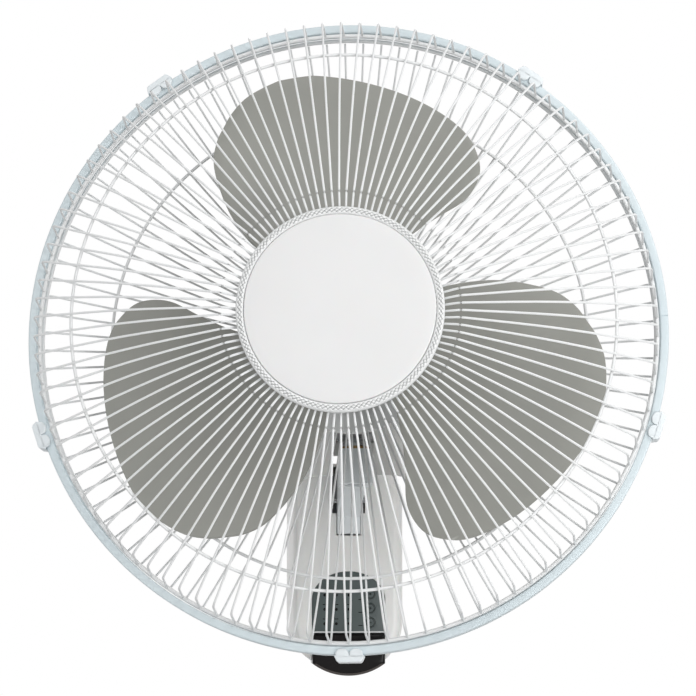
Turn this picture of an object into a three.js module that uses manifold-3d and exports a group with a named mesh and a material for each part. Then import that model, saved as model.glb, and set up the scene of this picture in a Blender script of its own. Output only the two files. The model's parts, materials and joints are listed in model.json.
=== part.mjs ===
// Wall mounted fan with remote control receiver: wall body, tilting neck, swinging motor head,
// wire guard with latches and a three-blade impeller.
// Millimetres, +Z up, the wall is the plane y = 0 and the fan faces -Y. +X is to the viewer's right.
import * as THREE from 'three';
import { mergeVertices } from 'three/addons/utils/BufferGeometryUtils.js';
import Module from 'manifold-3d';

const wasm = await Module();
wasm.setup();

// ---------------------------------------------------------------- driving dimensions
const SEAT = 0.3; // gap between two pieces that touch
const RUN = 0.3; // radial clearance of a turning fit, on the corners of the facets
const RAD = Math.PI / 180;

const BODY = {
  halfWidth: 42, top: 87, bottom: -74.5, roundStart: -34, topCorner: 26, depth: 98, split: 40,
  wall: 2.3, edge: 8, rim: 0.5,
};
const PLATE = {
  margin: 16, top: 66, bottom: -52, corner: 8, thickness: 3, keyhole: 4.2, keyholeZ: 48, slotRise: 9,
};
const PANEL = { margin: 14.2, archTop: 3.5, archBase: -17.5, foot: -43, thickness: 2.5, proud: 1 };
const LENS = { corner: -66, apex: -75.3, proud: 4, depth: 22, wall: 2.2, edge: 1.5 };
const BUTTON = {
  radius: 3.8, x: 16.3, top: -13.4, pitch: 10.8, count: 3, proud: 1.2, length: 6.8, travel: 0.8, edge: 0.6,
};
const BOARD = {
  halfWidth: 23, top: -5, bottom: -41, thickness: 1.6, behindPanel: 8, postRadius: 2.5, postX: [-20, 8],
  postZ: -36, switchHalf: 3,
};
const POWER = {
  halfWidth: 24, top: 24, bottom: -44, thickness: 1.6, standoff: 22, postRadius: 3, postZ: [-40, 20],
  choke: { x: [-18, 4], z: [-34, -14], height: 16 }, relay: { x: [8, 20], z: [-20, 2], height: 12 },
  storage: { x: -12, z: 6, radius: 6, height: 18 },
};
const SCREW = {
  head: 3.6, headLength: 2.4, shank: 1.7, grip: 12, thread: 6, post: 6, plateGap: 1.4, highZ: 56, lowZ: -42,
  sink: 1, cone: 3,
};
const GLAND = { bore: 3.4, neck: 5, collar: 7.5, collarLength: 2.6, y: -22, neckLength: 8, hole: 8 };
const PIVOT = { behindFace: 10, z: 57, pin: 2, headRadius: 4.5, headLength: 3, nutRadius: 4.6, nutLength: 3.2 };
const SLOT = { play: 0.7, tailPlay: 0.55, shoulder: 48, bottom: 31, depth: 34, tailDepth: 14 };
const BRACKET = { clear: 0.6, sheet: 2, top: 70, bottom: 44, baseTop: 80, baseBottom: 34, nose: 6.4 };

const REST = { tilt: 6 * RAD, swing: -7.5 * RAD };
const NECK = {
  forward: 74, halfWidth: 8.75, blockHalfWidth: 12, blockDepth: 28, blockBottom: 3, blockTop: 28.8, corner: 4,
  lap: 2,
};
// The neck's web behind its swivel block, seen from the side: [y, z] from the tilt axis.
const NECK_HEEL = [[-20, -7], [-10.5, -13], [-9.5, -25.5], [2, -25.5], [8, -14], [10, 0], [5, 10], [-20, 20]];
const DRIVE_PAD = { halfWidth: 9, halfLength: 8, bottom: 22, webTop: 26, top: 31.8, slot: 2.2, slotDepth: 3, slotEnd: 1.5 };
const BUSH = { outer: 8, bottom: 8.5, flange: 11, flangeLength: 2.2 };
const SWIVEL = { radius: 5, shoulder: 9, shoulderLength: 3.5, clear: 3.7, grip: 11.7, bottomInNeck: 4, collarLength: 4 };
const YOKE = {
  halfWidth: 14, front: -16, back: 8.7, bottom: -58, plateHalfWidth: 12, plateBack: 38, plate: 2.5, saddle: 6,
};
const SWING_MOTOR = { radius: 15, y: 24, lift: 2, length: 12.2, shaft: 2, shaftLength: 2.6 };
const CRANK = { radius: 8, thickness: 3.2, throw: 5, pin: 1.5, pinGap: 1 };
const CAPACITOR = { width: 14, front: -10, back: 8, drop: 1, height: 14 };

const MOTOR = {
  cover: 60, wall: 2.2, front: -42, shoulderLength: 9, chamfer: 10, lap: 3, cylinderEnd: 36, back: 70,
  domePower: 0.75, stator: 40, airGap: 0.9, statorHalf: 14, rotor: 24, rotorHalf: 15, shaft: 4, coilLength: 11,
  coilGap: 2, coilEdge: 3, bracketWall: 3.5, web: 2.5, bracketGap: 0.5, bearing: 9, bearingLength: 8,
  bearingInset: 1,
};
const SLEEVE = { inner: 12, outer: 20, proud: 0.2 };
const CHIN = {
  halfWidth: 38, back: 40, drop: 32, heelDrop: 8, lipY: -11, heelY: 6, corner: 20, notch: 15, notchDepth: 8, lap: 4,
};
const VENT = { count: 8, inner: 30, outer: 44, width: 3, lean: 0.5, rearCount: 10, rearInner: 26, rearOuter: 44 };

const CAGE = {
  plane: 105, wires: 102, hubSides: 34, wire: 1.3, ring: 1.1, rim: 1.5, rimRadius: 217.1, rimInset: 1.6,
  wireRoot: 4, kinkReach: 16, kinkRise: 11.5,
};
// The guard wires' bends between hub and rim: [distance in from the rim, distance in front of the clamp plane].
const FRONT_BENDS = [[69.1, 79], [9.1, 53]];
const REAR_BENDS = [[105.1, -49.5], [47.1, -25.5]];
const FRONT_RING = { radius: 186, seat: 2.35 };
const REAR_RING = { radius: 170, seat: 2.6 };
const FRONT_HUB = { inner: 50, outer: 64, back: 79.5, thickness: 5.5, wireDepth: 1.5 };
const REAR_HUB = { outer: 61, thickness: 3.2, wireDepth: 0.7 };
const GRILLE_NUT = { outer: 38, length: 10, rib: 3, ribs: 8, taper: 8, edge: 3 };
const CLAMP = { play: 0.6, lip: 2.8, band: 3, front: 7, back: -8, flange: 2.5 };
const LATCH = { count: 5, first: 36, length: 21, height: 5, lip: 3.5, lipThickness: 2.2, edge: 1.5, lead: 4 };
const CAP = {
  disc: 64.5, rim: 5.5, thickness: 6.4, ringThickness: 5.4, floor: 2.5, skirtLap: 4, skirtWall: 3,
  skirtLeast: 2, ringEdge: 2, crown: 0.3, edgeWidth: 4,
};

const HUB = { radius: 45, wall: 2.5, front: 34, back: -38, chamfer: 7, boss: 9, bossBack: -20 };
const BLADE = { count: 3, plane: 13, thickness: 2.4, trailing: 27, leading: -14, dish: 6, chordSteps: 5 };
// Blade edges: [radius, angle of the trailing edge, angle of the leading edge], degrees from the blade's axis.
const BLADE_EDGES = [
  [43, -48, 24], [60, -50, 27.5], [84, -48.3, 33.3], [108, -45.5, 38.5], [128, -42, 41.5],
  [148, -38, 40], [160, -34, 35.6], [168, -30, 30], [174, -27, 20], [181, -22, 4], [186, -14.5, -7],
];
const DRIVE_PIN = { radius: 1.5, halfLength: 7 };
const SPINNER = { radius: 15, length: 16, top: 9, shaftGrip: 11.5, collar: 6 };
const FUSE = 0.5; // how far joined shapes of one piece reach into each other
const PAST = 1; // how far a cutter runs past the face that it cuts

// ---------------------------------------------------------------- finishes
const WHITE_PLASTIC = { color: 0xf1f2f0, roughness: 0.42, metalness: 0 };
const COOL_PLASTIC = { color: 0xd5dbe0, roughness: 0.45, metalness: 0 };
const WHITE_WIRE = { color: 0xf3f4f4, roughness: 0.35, metalness: 0.1 };
const BLADE_GREY = { color: 0x8f8d86, roughness: 0.45, metalness: 0 };
const PANEL_GREY = { color: 0x4a5557, roughness: 0.35, metalness: 0 };
const GLOSS_BLACK = { color: 0x0d0d0d, roughness: 0.08, metalness: 0 };
const DARK_PLASTIC = { color: 0x2b2c2e, roughness: 0.6, metalness: 0 };
const STEEL = { color: 0xa8abae, roughness: 0.3, metalness: 0.9 };
const CAST_METAL = { color: 0x9a9c9d, roughness: 0.55, metalness: 0.7 };
const COPPER = { color: 0xa5572c, roughness: 0.4, metalness: 0.8 };
const BRONZE = { color: 0xa98245, roughness: 0.4, metalness: 0.8 };
const BOARD_GREEN = { color: 0x2d5a3a, roughness: 0.5, metalness: 0 };

// ---------------------------------------------------------------- shape helpers
/** Merges shared corners, drops faces without area and turns the faces outwards. */
function tidy(geometry) {
  const bare = geometry.clone();
  bare.deleteAttribute('normal');
  bare.deleteAttribute('uv');
  const merged = mergeVertices(bare, 1e-4);
  const corners = merged.getAttribute('position');
  const source = merged.index.array;
  const faces = [];
  for (let i = 0; i < source.length; i += 3) {
    const [a, b, c] = [source[i], source[i + 1], source[i + 2]];
    if (a !== b && b !== c && c !== a) {
      faces.push(a, b, c);
    }
  }
  const [p, q, r] = [new THREE.Vector3(), new THREE.Vector3(), new THREE.Vector3()];
  let volume = 0;
  for (let i = 0; i < faces.length; i += 3) {
    p.fromBufferAttribute(corners, faces[i]);
    q.fromBufferAttribute(corners, faces[i + 1]);
    r.fromBufferAttribute(corners, faces[i + 2]);
    volume += p.dot(q.cross(r));
  }
  merged.setIndex(volume < 0 ? faces.reverse() : faces);
  return merged;
}

/** A three.js geometry as a solid that can be joined and cut. */
function toSolid(geometry) {
  const clean = tidy(geometry);
  const vertProperties = new Float32Array(clean.getAttribute('position').array);
  const triVerts = new Uint32Array(clean.index.array);
  return new wasm.Manifold(new wasm.Mesh({ numProp: 3, vertProperties, triVerts }));
}

/** A joined or cut solid as a three.js geometry. */
function toGeometry(solid) {
  const mesh = solid.getMesh();
  const geometry = new THREE.BufferGeometry();
  geometry.setAttribute('position', new THREE.BufferAttribute(new Float32Array(mesh.vertProperties), 3));
  geometry.setIndex(new THREE.BufferAttribute(new Uint32Array(mesh.triVerts), 1));
  geometry.computeVertexNormals();
  return geometry;
}

/** Joins the pieces of the first list, cuts the second list out, and keeps what lies within a bound. */
function combine(joined, removed = [], within = null) {
  let solid = toSolid(joined[0]);
  for (const added of joined.slice(1)) {
    solid = solid.add(toSolid(added));
  }
  for (const cutter of removed) {
    solid = solid.subtract(toSolid(cutter));
  }
  return toGeometry(within ? solid.intersect(toSolid(within)) : solid);
}

/** A closed profile of [radius, y] points turned about the Y axis. */
function turned(profile, sides = 24, start = 0) {
  const flat = profile.map(([radius, y]) => new THREE.Vector2(radius, y));
  const onAxis = profile[0][0] === 0 && profile[profile.length - 1][0] === 0;
  return tidy(new THREE.LatheGeometry(onAxis ? flat : [...flat, flat[0].clone()], sides, start));
}

/** A closed profile of [radius, distance in front of the clamp plane] points, in the head's frame. */
function turnedInHead(profile, sides, start = 0) {
  return turned(profile.map(([radius, forward]) => [radius, headY(forward)]), sides, start);
}

/** The head's Y coordinate of a distance in front of the clamp ring's plane. */
function headY(forward) {
  return -CAGE.plane - forward;
}

/** A box between two corners. */
function block(low, high) {
  const size = high.map((value, i) => value - low[i]);
  const centre = high.map((value, i) => (value + low[i]) / 2);
  return new THREE.BoxGeometry(...size).translate(...centre);
}

/** A round bar along X, Y or Z, through a centre point given by its two other coordinates. */
function bar(axis, radius, from, to, centre, sides = 16) {
  const geometry = new THREE.CylinderGeometry(radius, radius, Math.abs(to - from), sides);
  const middle = (from + to) / 2;
  if (axis === 'x') {
    return geometry.rotateZ(Math.PI / 2).translate(middle, centre[0], centre[1]);
  }
  if (axis === 'z') {
    return geometry.rotateX(Math.PI / 2).translate(centre[0], centre[1], middle);
  }
  return geometry.translate(centre[0], middle, centre[1]);
}

/** An outline of [y, z] points drawn out along X. */
function prismX(points, from, to) {
  const shape = new THREE.Shape(points.map(([y, z]) => new THREE.Vector2(y, z)));
  const turn = new THREE.Matrix4().makeBasis(
    new THREE.Vector3(0, 1, 0), new THREE.Vector3(0, 0, 1), new THREE.Vector3(1, 0, 0));
  const geometry = new THREE.ExtrudeGeometry(shape, { depth: to - from, bevelEnabled: false });
  return geometry.applyMatrix4(turn).translate(from, 0, 0);
}

/** A shape in the X-Z plane drawn out from y = back towards the viewer to y = front. */
function prismY(shape, back, front, bevel = 0, curveSegments = 5) {
  const geometry = new THREE.ExtrudeGeometry(shape, {
    depth: back - front - 2 * bevel,
    bevelEnabled: bevel > 0,
    bevelThickness: bevel,
    bevelSize: bevel,
    bevelOffset: -bevel,
    bevelSegments: 2,
    curveSegments,
  });
  return geometry.rotateX(Math.PI / 2).translate(0, back - bevel, 0);
}

/** A rectangle with round corners as a shape. */
function roundRectangle(left, right, low, high, radius) {
  const shape = new THREE.Shape();
  shape.moveTo(right, low + radius);
  shape.lineTo(right, high - radius);
  shape.absarc(right - radius, high - radius, radius, 0, Math.PI / 2);
  shape.lineTo(left + radius, high);
  shape.absarc(left + radius, high - radius, radius, Math.PI / 2, Math.PI);
  shape.lineTo(left, low + radius);
  shape.absarc(left + radius, low + radius, radius, Math.PI, 1.5 * Math.PI);
  shape.lineTo(right - radius, low);
  shape.absarc(right - radius, low + radius, radius, 1.5 * Math.PI, 2 * Math.PI);
  return shape;
}

/** A bent wire's centre line, sampled at its own corners. */
class WirePath extends THREE.Curve {
  constructor(points) {
    super();
    this.points = points;
  }

  getPoint(t, target = new THREE.Vector3()) {
    const place = t * (this.points.length - 1);
    const index = Math.min(Math.floor(place), this.points.length - 2);
    return target.lerpVectors(this.points[index], this.points[index + 1], place - index);
  }

  getPointAt(t, target) {
    return this.getPoint(t, target);
  }

  getTangentAt(t, target) {
    return this.getTangent(t, target);
  }
}

/** The height of a straight stretch of an outline, drawn on past its ends, at a radius. */
function onStretch([[nearRadius, near], [farRadius, far]], radius) {
  return near + ((far - near) * (radius - nearRadius)) / (farRadius - nearRadius);
}

/** The stretches of an outline, each as its two end points. */
function stretches(outline) {
  return outline.slice(1).map((point, i) => [outline[i], point]);
}

/** How far in front of the clamp plane an outline passes a radius. */
function onOutline(outline, radius) {
  const stretch = stretches(outline).find(([, [farRadius]]) => radius <= farRadius);
  return onStretch(stretch ?? outline.slice(-2), radius);
}

/** The forward place of a ring that lies beside an outline's stretches, in front (side 1) or behind (-1). */
function besideOutline(outline, radius, seat, side) {
  const places = stretches(outline).map(([from, to]) => {
    const slope = (to[1] - from[1]) / (to[0] - from[0]);
    return side * onStretch([from, to], radius) + seat * Math.hypot(1, slope);
  });
  return side * Math.max(...places);
}

/** A guard wire along an outline of [radius, forward] points, at an angle clockwise from the top. */
function guardWire(outline, angle) {
  const points = outline.map(([radius, forward]) => new THREE.Vector3(
    radius * Math.sin(angle), headY(forward), radius * Math.cos(angle)));
  const section = new THREE.Shape();
  const corners = 3;
  for (let i = 0; i < corners; i += 1) {
    const turn = (i * 2 * Math.PI) / corners;
    const place = [CAGE.wire * Math.cos(turn), CAGE.wire * Math.sin(turn)];
    if (i === 0) {
      section.moveTo(...place);
    } else {
      section.lineTo(...place);
    }
  }
  return new THREE.ExtrudeGeometry(section, {
    steps: points.length - 1,
    bevelEnabled: false,
    extrudePath: new WirePath(points),
  });
}

/** A ring of round wire about the motor axis. */
function wireRing(radius, forward, wire, sides = 51) {
  return new THREE.TorusGeometry(radius, wire, 3, sides)
    .rotateX(Math.PI / 2).translate(0, headY(forward), 0);
}

/** A named mesh with its finish. */
function piece(name, geometry, finish) {
  const mesh = new THREE.Mesh(geometry, new THREE.MeshStandardMaterial(finish));
  mesh.name = name;
  return mesh;
}

// ---------------------------------------------------------------- wall body
const panelHalf = BODY.halfWidth - PANEL.margin;

/** The wall body's outline seen from the front, drawn in by an inset. */
function bodyOutline(inset) {
  const half = BODY.halfWidth - inset;
  const high = BODY.top - BODY.topCorner;
  const corner = BODY.topCorner - inset;
  const flat = BODY.halfWidth - BODY.topCorner;
  const shape = new THREE.Shape();
  shape.moveTo(half, BODY.roundStart);
  shape.lineTo(half, high);
  shape.absarc(flat, high, corner, 0, Math.PI / 2);
  shape.lineTo(-flat, high + corner);
  shape.absarc(-flat, high, corner, Math.PI / 2, Math.PI);
  shape.lineTo(-half, BODY.roundStart);
  shape.absellipse(0, BODY.roundStart, half, BODY.roundStart - BODY.bottom - inset, Math.PI, 2 * Math.PI);
  return shape;
}

/** The control panel's outline: straight foot, straight sides and an arched top. */
function panelOutline(margin, foot) {
  const half = panelHalf + margin;
  const shape = new THREE.Shape();
  shape.moveTo(-half, foot);
  shape.lineTo(half, foot);
  shape.lineTo(half, PANEL.archBase);
  shape.absellipse(0, PANEL.archBase, half, PANEL.archTop - PANEL.archBase + margin, 0, Math.PI);
  return shape;
}

/** The receiver lens' outline: straight top and an arc at the bottom. */
function lensOutline(margin, top) {
  const half = panelHalf + margin;
  const drop = LENS.corner - LENS.apex;
  const radius = (panelHalf ** 2 + drop ** 2) / (2 * drop);
  const centre = LENS.apex + radius;
  const reach = radius + margin;
  const corner = Math.asin(half / reach);
  const shape = new THREE.Shape();
  shape.moveTo(half, top);
  shape.lineTo(-half, top);
  shape.absarc(0, centre, reach, -Math.PI / 2 - corner, -Math.PI / 2 + corner);
  return shape;
}

const faceY = -BODY.depth;
const plateHalf = BODY.halfWidth - PLATE.margin;
const screwX = plateHalf + SCREW.head + SCREW.plateGap;
const pivotY = faceY + PIVOT.behindFace;
const slotHalf = NECK.blockHalfWidth + SLOT.play;
const tailHalf = NECK.halfWidth + SLOT.tailPlay;
const cheekInner = slotHalf + BRACKET.clear;
const panelFront = faceY - PANEL.proud;
const panelBack = panelFront + PANEL.thickness;
const boardFront = panelBack + BOARD.behindPanel;
const buttonFront = panelFront - BUTTON.proud;
const buttonBack = buttonFront + BUTTON.length;
const plateBack = -PLATE.thickness - SEAT;
const shellFloor = plateBack - BODY.wall;
const powerBack = shellFloor - POWER.standoff - SEAT;
const screwPlaces = [
  [-screwX, SCREW.highZ], [screwX, SCREW.highZ], [-screwX, SCREW.lowZ], [screwX, SCREW.lowZ],
];
const buttonHeights = Array.from({ length: BUTTON.count }, (_, i) => BUTTON.top - i * BUTTON.pitch);
const shellSplit = -BODY.split;

function wallPlate() {
  const outline = roundRectangle(-plateHalf, plateHalf, PLATE.bottom, PLATE.top, PLATE.corner);
  const keyholes = [];
  for (const x of [-1, 1].map((side) => side * plateHalf * 0.5)) {
    const slot = PLATE.keyhole / 2;
    keyholes.push(bar('y', PLATE.keyhole, PAST, -PLATE.thickness - PAST, [x, PLATE.keyholeZ], 12));
    keyholes.push(block(
      [x - slot, -PLATE.thickness - PAST, PLATE.keyholeZ], [x + slot, PAST, PLATE.keyholeZ + PLATE.slotRise]));
  }
  return combine([prismY(outline, 0, -PLATE.thickness)], keyholes);
}

function rearShell() {
  const outer = prismY(bodyOutline(0), -BODY.rim, shellSplit);
  const room = prismY(bodyOutline(BODY.wall), shellFloor, shellSplit - PAST);
  const recess = prismY(roundRectangle(
    -plateHalf - SEAT, plateHalf + SEAT, PLATE.bottom - SEAT, PLATE.top + SEAT,
    PLATE.corner + SEAT), PAST, plateBack);
  const posts = screwPlaces.map((place) => bar('y', SCREW.post, shellFloor + FUSE, shellSplit, place, 12));
  const powerPosts = POWER.postZ.map((z) => bar(
    'y', POWER.postRadius, shellFloor + FUSE, shellFloor - POWER.standoff, [0, z], 10));
  const bores = screwPlaces.flatMap((place) => [
    bar('y', SCREW.shank + SEAT, 0, shellSplit - PAST, place, 10),
    bar('y', SCREW.head + SEAT, PAST, -BODY.rim - SCREW.sink - SCREW.headLength - SEAT, place, 12),
  ]);
  const glandHole = bar('z', GLAND.neck + SEAT, BODY.bottom - PAST, BODY.bottom + GLAND.hole, [0, GLAND.y], 12);
  const shell = combine([outer], [room, recess, glandHole]);
  return combine([shell, ...posts, ...powerPosts], bores, outer);
}

function frontShell() {
  const roomBack = shellSplit + BODY.edge + PAST;
  const outer = prismY(bodyOutline(0), roomBack, faceY, BODY.edge);
  const behind = block(
    [-2 * BODY.halfWidth, shellSplit - SEAT, 2 * BODY.bottom], [2 * BODY.halfWidth, 0, 2 * BODY.top]);
  const room = prismY(bodyOutline(BODY.wall), roomBack, faceY + BODY.wall, BODY.edge - BODY.wall);
  const posts = screwPlaces.map((place) => bar(
    'y', SCREW.post, shellSplit - SEAT, faceY + BODY.wall - FUSE, place, 12));
  const bores = screwPlaces.map((place) => bar(
    'y', SCREW.shank + SEAT, 0, shellSplit - SCREW.grip - PAST, place, 10));
  const panelWindow = prismY(panelOutline(SEAT, LENS.corner), panelBack + 2 * PAST, panelFront - PAST);
  const lensWindow = prismY(
    lensOutline(SEAT, PANEL.foot + SEAT), faceY + LENS.depth - LENS.proud + SEAT, faceY - LENS.proud - PAST);
  const slot = block([-slotHalf, faceY - PAST, SLOT.shoulder], [slotHalf, faceY + SLOT.depth, BODY.top + PAST]);
  const tail = block([-tailHalf, faceY - PAST, SLOT.bottom], [tailHalf, faceY + SLOT.tailDepth, BODY.top]);
  const shell = combine([outer], [behind, room]);
  return combine([shell, ...posts], [...bores, panelWindow, lensWindow, slot, tail], outer);
}

function controlPanel() {
  const sheet = prismY(panelOutline(0, PANEL.foot + SEAT / 2), panelBack, panelFront);
  const posts = BOARD.postX.map((x) => bar(
    'y', BOARD.postRadius, panelBack - FUSE, boardFront - SEAT, [x, BOARD.postZ], 8));
  const holes = buttonHeights.map((z) => bar(
    'y', BUTTON.radius + RUN, panelFront - PAST, panelBack + PAST, [BUTTON.x, z], 16));
  return combine([sheet, ...posts], holes);
}

function receiverLens() {
  const front = faceY - LENS.proud;
  const top = PANEL.foot - SEAT / 2;
  const outer = prismY(lensOutline(0, top), front + LENS.depth, front, LENS.edge);
  const room = prismY(lensOutline(-LENS.wall, top - LENS.wall), front + LENS.depth + PAST, front + LENS.wall);
  return combine([outer], [room]);
}

function pushButton() {
  return turned([
    [0, buttonBack], [BUTTON.radius, buttonBack], [BUTTON.radius, buttonFront + BUTTON.edge],
    [BUTTON.radius - BUTTON.edge, buttonFront], [0, buttonFront],
  ].reverse(), 16);
}

function controlBoard() {
  const sheet = block(
    [-BOARD.halfWidth, boardFront, BOARD.bottom], [BOARD.halfWidth, boardFront + BOARD.thickness, BOARD.top]);
  const switchFront = buttonBack + BUTTON.travel + SEAT;
  const switches = buttonHeights.map((z) => block(
    [BUTTON.x - BOARD.switchHalf, switchFront, z - BOARD.switchHalf],
    [BUTTON.x + BOARD.switchHalf, boardFront + FUSE, z + BOARD.switchHalf]));
  return combine([sheet, ...switches]);
}

function powerBoard() {
  const front = powerBack - POWER.thickness;
  const sheet = block([-POWER.halfWidth, front, POWER.bottom], [POWER.halfWidth, powerBack, POWER.top]);
  const parts = [POWER.choke, POWER.relay].map(({ x, z, height }) => block(
    [x[0], front - height, z[0]], [x[1], front + FUSE, z[1]]));
  const { storage } = POWER;
  const can = bar('y', storage.radius, front + FUSE, front - storage.height, [storage.x, storage.z], 12);
  return combine([sheet, ...parts, can]);
}

function tiltBracket() {
  const base = block(
    [-cheekInner - BRACKET.sheet, shellFloor - SEAT - BRACKET.sheet, BRACKET.baseBottom],
    [cheekInner + BRACKET.sheet, shellFloor - SEAT, BRACKET.baseTop]);
  const cheeks = [-1, 1].map((side) => {
    const edges = [side * cheekInner, side * (cheekInner + BRACKET.sheet)].sort((a, b) => a - b);
    return block(
      [edges[0], pivotY - BRACKET.nose, BRACKET.bottom], [edges[1], shellFloor - SEAT - FUSE, BRACKET.top]);
  });
  const reach = cheekInner + BRACKET.sheet + PAST;
  const bore = bar('x', PIVOT.pin + RUN, -reach, reach, [pivotY, PIVOT.z], 12);
  return combine([base, ...cheeks], [bore]);
}

function tiltBolt() {
  const side = cheekInner + BRACKET.sheet + SEAT;
  const shank = bar('x', PIVOT.pin, -side - PIVOT.nutLength - SEAT, side + FUSE, [pivotY, PIVOT.z], 12);
  const head = bar('x', PIVOT.headRadius, side, side + PIVOT.headLength, [pivotY, PIVOT.z], 12);
  return combine([shank, head]);
}

function tiltNut() {
  const side = cheekInner + BRACKET.sheet + SEAT;
  const outer = bar('x', PIVOT.nutRadius, -side - PIVOT.nutLength, -side, [pivotY, PIVOT.z], 6);
  const bore = bar('x', PIVOT.pin + SEAT, -side - PIVOT.nutLength - PAST, -side + PAST, [pivotY, PIVOT.z], 12);
  return combine([outer], [bore]);
}

function cableGland() {
  const low = BODY.bottom - GLAND.collarLength - SEAT;
  const profile = [
    [GLAND.bore, low], [GLAND.collar, low], [GLAND.collar, BODY.bottom - SEAT], [GLAND.neck, BODY.bottom - SEAT],
    [GLAND.neck, BODY.bottom + GLAND.neckLength], [GLAND.bore, BODY.bottom + GLAND.neckLength],
  ];
  return turned(profile, 12).rotateX(Math.PI / 2).translate(0, GLAND.y, 0);
}

function shellScrew([x, z]) {
  const headBack = -BODY.rim - SCREW.sink;
  const headFront = headBack - SCREW.headLength;
  return turned([
    [0, headBack], [SCREW.head, headBack], [SCREW.head, headFront], [SCREW.shank, headFront],
    [SCREW.shank, shellSplit - SCREW.grip], [0, shellSplit - SCREW.grip],
  ], 10).translate(x, 0, z);
}

function buildBase() {
  const base = new THREE.Group();
  base.add(piece('wall_plate', wallPlate(), STEEL));
  base.add(piece('rear_shell', rearShell(), WHITE_PLASTIC));
  base.add(piece('front_shell', frontShell(), WHITE_PLASTIC));
  base.add(piece('control_panel', controlPanel(), PANEL_GREY));
  base.add(piece('receiver_lens', receiverLens(), GLOSS_BLACK));
  base.add(piece('control_board', controlBoard(), BOARD_GREEN));
  base.add(piece('power_board', powerBoard(), BOARD_GREEN));
  base.add(piece('tilt_bracket', tiltBracket(), STEEL));
  base.add(piece('tilt_bolt', tiltBolt(), STEEL));
  base.add(piece('tilt_nut', tiltNut(), STEEL));
  base.add(piece('cable_gland', cableGland(), DARK_PLASTIC));
  screwPlaces.forEach((place, i) => base.add(piece(`shell_screw_${i + 1}`, shellScrew(place), STEEL)));
  buttonHeights.forEach((z, i) => {
    const button = piece(`button_${i + 1}`, pushButton(), PANEL_GREY);
    button.position.set(BUTTON.x, 0, z);
    base.add(button);
  });
  return base;
}

// ---------------------------------------------------------------- tilting neck
const bushTop = NECK.blockTop + SEAT + BUSH.flangeLength;
const neckRise = bushTop + SEAT + SWIVEL.shoulderLength + SWIVEL.clear - YOKE.bottom;
const padCentre = SWING_MOTOR.y - NECK.forward;

function neckArm() {
  const front = -NECK.forward - NECK.blockDepth / 2;
  const rear = -NECK.forward + NECK.blockDepth / 2;
  const outline = roundRectangle(-NECK.blockHalfWidth, NECK.blockHalfWidth, front, rear, NECK.corner);
  const head = new THREE.ExtrudeGeometry(outline, {
    depth: NECK.blockTop - NECK.blockBottom, bevelEnabled: false, curveSegments: 3,
  }).translate(0, 0, NECK.blockBottom);
  const padFront = padCentre - DRIVE_PAD.halfLength;
  const padBack = padCentre + DRIVE_PAD.halfLength;
  const web = prismX([
    [rear - NECK.lap, NECK.blockBottom], ...NECK_HEEL, [padBack, DRIVE_PAD.webTop],
    [rear - NECK.lap, NECK.blockTop - FUSE],
  ], -NECK.halfWidth, NECK.halfWidth);
  const pad = block(
    [-DRIVE_PAD.halfWidth, padFront, DRIVE_PAD.bottom], [DRIVE_PAD.halfWidth, padBack, DRIVE_PAD.top]);
  const driveSlot = block(
    [-DRIVE_PAD.slot, padFront + DRIVE_PAD.slotEnd, DRIVE_PAD.top - DRIVE_PAD.slotDepth],
    [DRIVE_PAD.slot, padBack - DRIVE_PAD.slotEnd, DRIVE_PAD.top + PAST]);
  const pinBore = bar('x', PIVOT.pin + RUN, -NECK.blockHalfWidth, NECK.blockHalfWidth, [0, 0], 12);
  const swivelBore = bar(
    'z', BUSH.outer + SEAT, NECK.blockBottom - PAST, NECK.blockTop + PAST, [0, -NECK.forward], 20);
  return combine([head, web, pad], [driveSlot, pinBore, swivelBore]);
}

function swivelBush() {
  const flangeBack = NECK.blockTop + SEAT;
  const profile = [
    [SWIVEL.radius + RUN, BUSH.bottom], [BUSH.outer, BUSH.bottom], [BUSH.outer, flangeBack],
    [BUSH.flange, flangeBack], [BUSH.flange, flangeBack + BUSH.flangeLength],
    [SWIVEL.radius + RUN, flangeBack + BUSH.flangeLength],
  ];
  return turned(profile, 12).rotateX(Math.PI / 2).translate(0, -NECK.forward, 0);
}

function buildNeck() {
  const neck = new THREE.Group();
  neck.add(piece('neck_arm', neckArm(), COOL_PLASTIC));
  neck.add(piece('swivel_bush', swivelBush(), BRONZE));
  return neck;
}

// ---------------------------------------------------------------- motor head
const swingMotorBottom = YOKE.bottom + SWING_MOTOR.lift;
const swingMotorTop = swingMotorBottom + SWING_MOTOR.length;
const swivelTop = YOKE.bottom + SWIVEL.grip;
const coverShoulder = MOTOR.front + MOTOR.shoulderLength;
const coverSplit = coverShoulder + MOTOR.lap;
const bracketFace = -MOTOR.front - MOTOR.wall - SEAT - MOTOR.bracketGap;
const bearingBack = bracketFace - MOTOR.bearingInset;
const statorBore = MOTOR.rotor + MOTOR.airGap;
const rearHubBack = MOTOR.front - SEAT;
const nutBack = rearHubBack - REAR_HUB.thickness - SEAT;
const nutFront = nutBack - GRILLE_NUT.length;
const sleeveFront = nutFront - SLEEVE.proud;
const clampInner = CAGE.rimRadius + CAGE.rim + CLAMP.play;
const clampOuter = clampInner + CLAMP.lip + CLAMP.band;
const frontRimForward = CLAMP.front - CAGE.rimInset;
const rearRimForward = CLAMP.back + CAGE.rim;
const wireRootForward = FRONT_HUB.back + FRONT_HUB.wireDepth;
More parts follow.
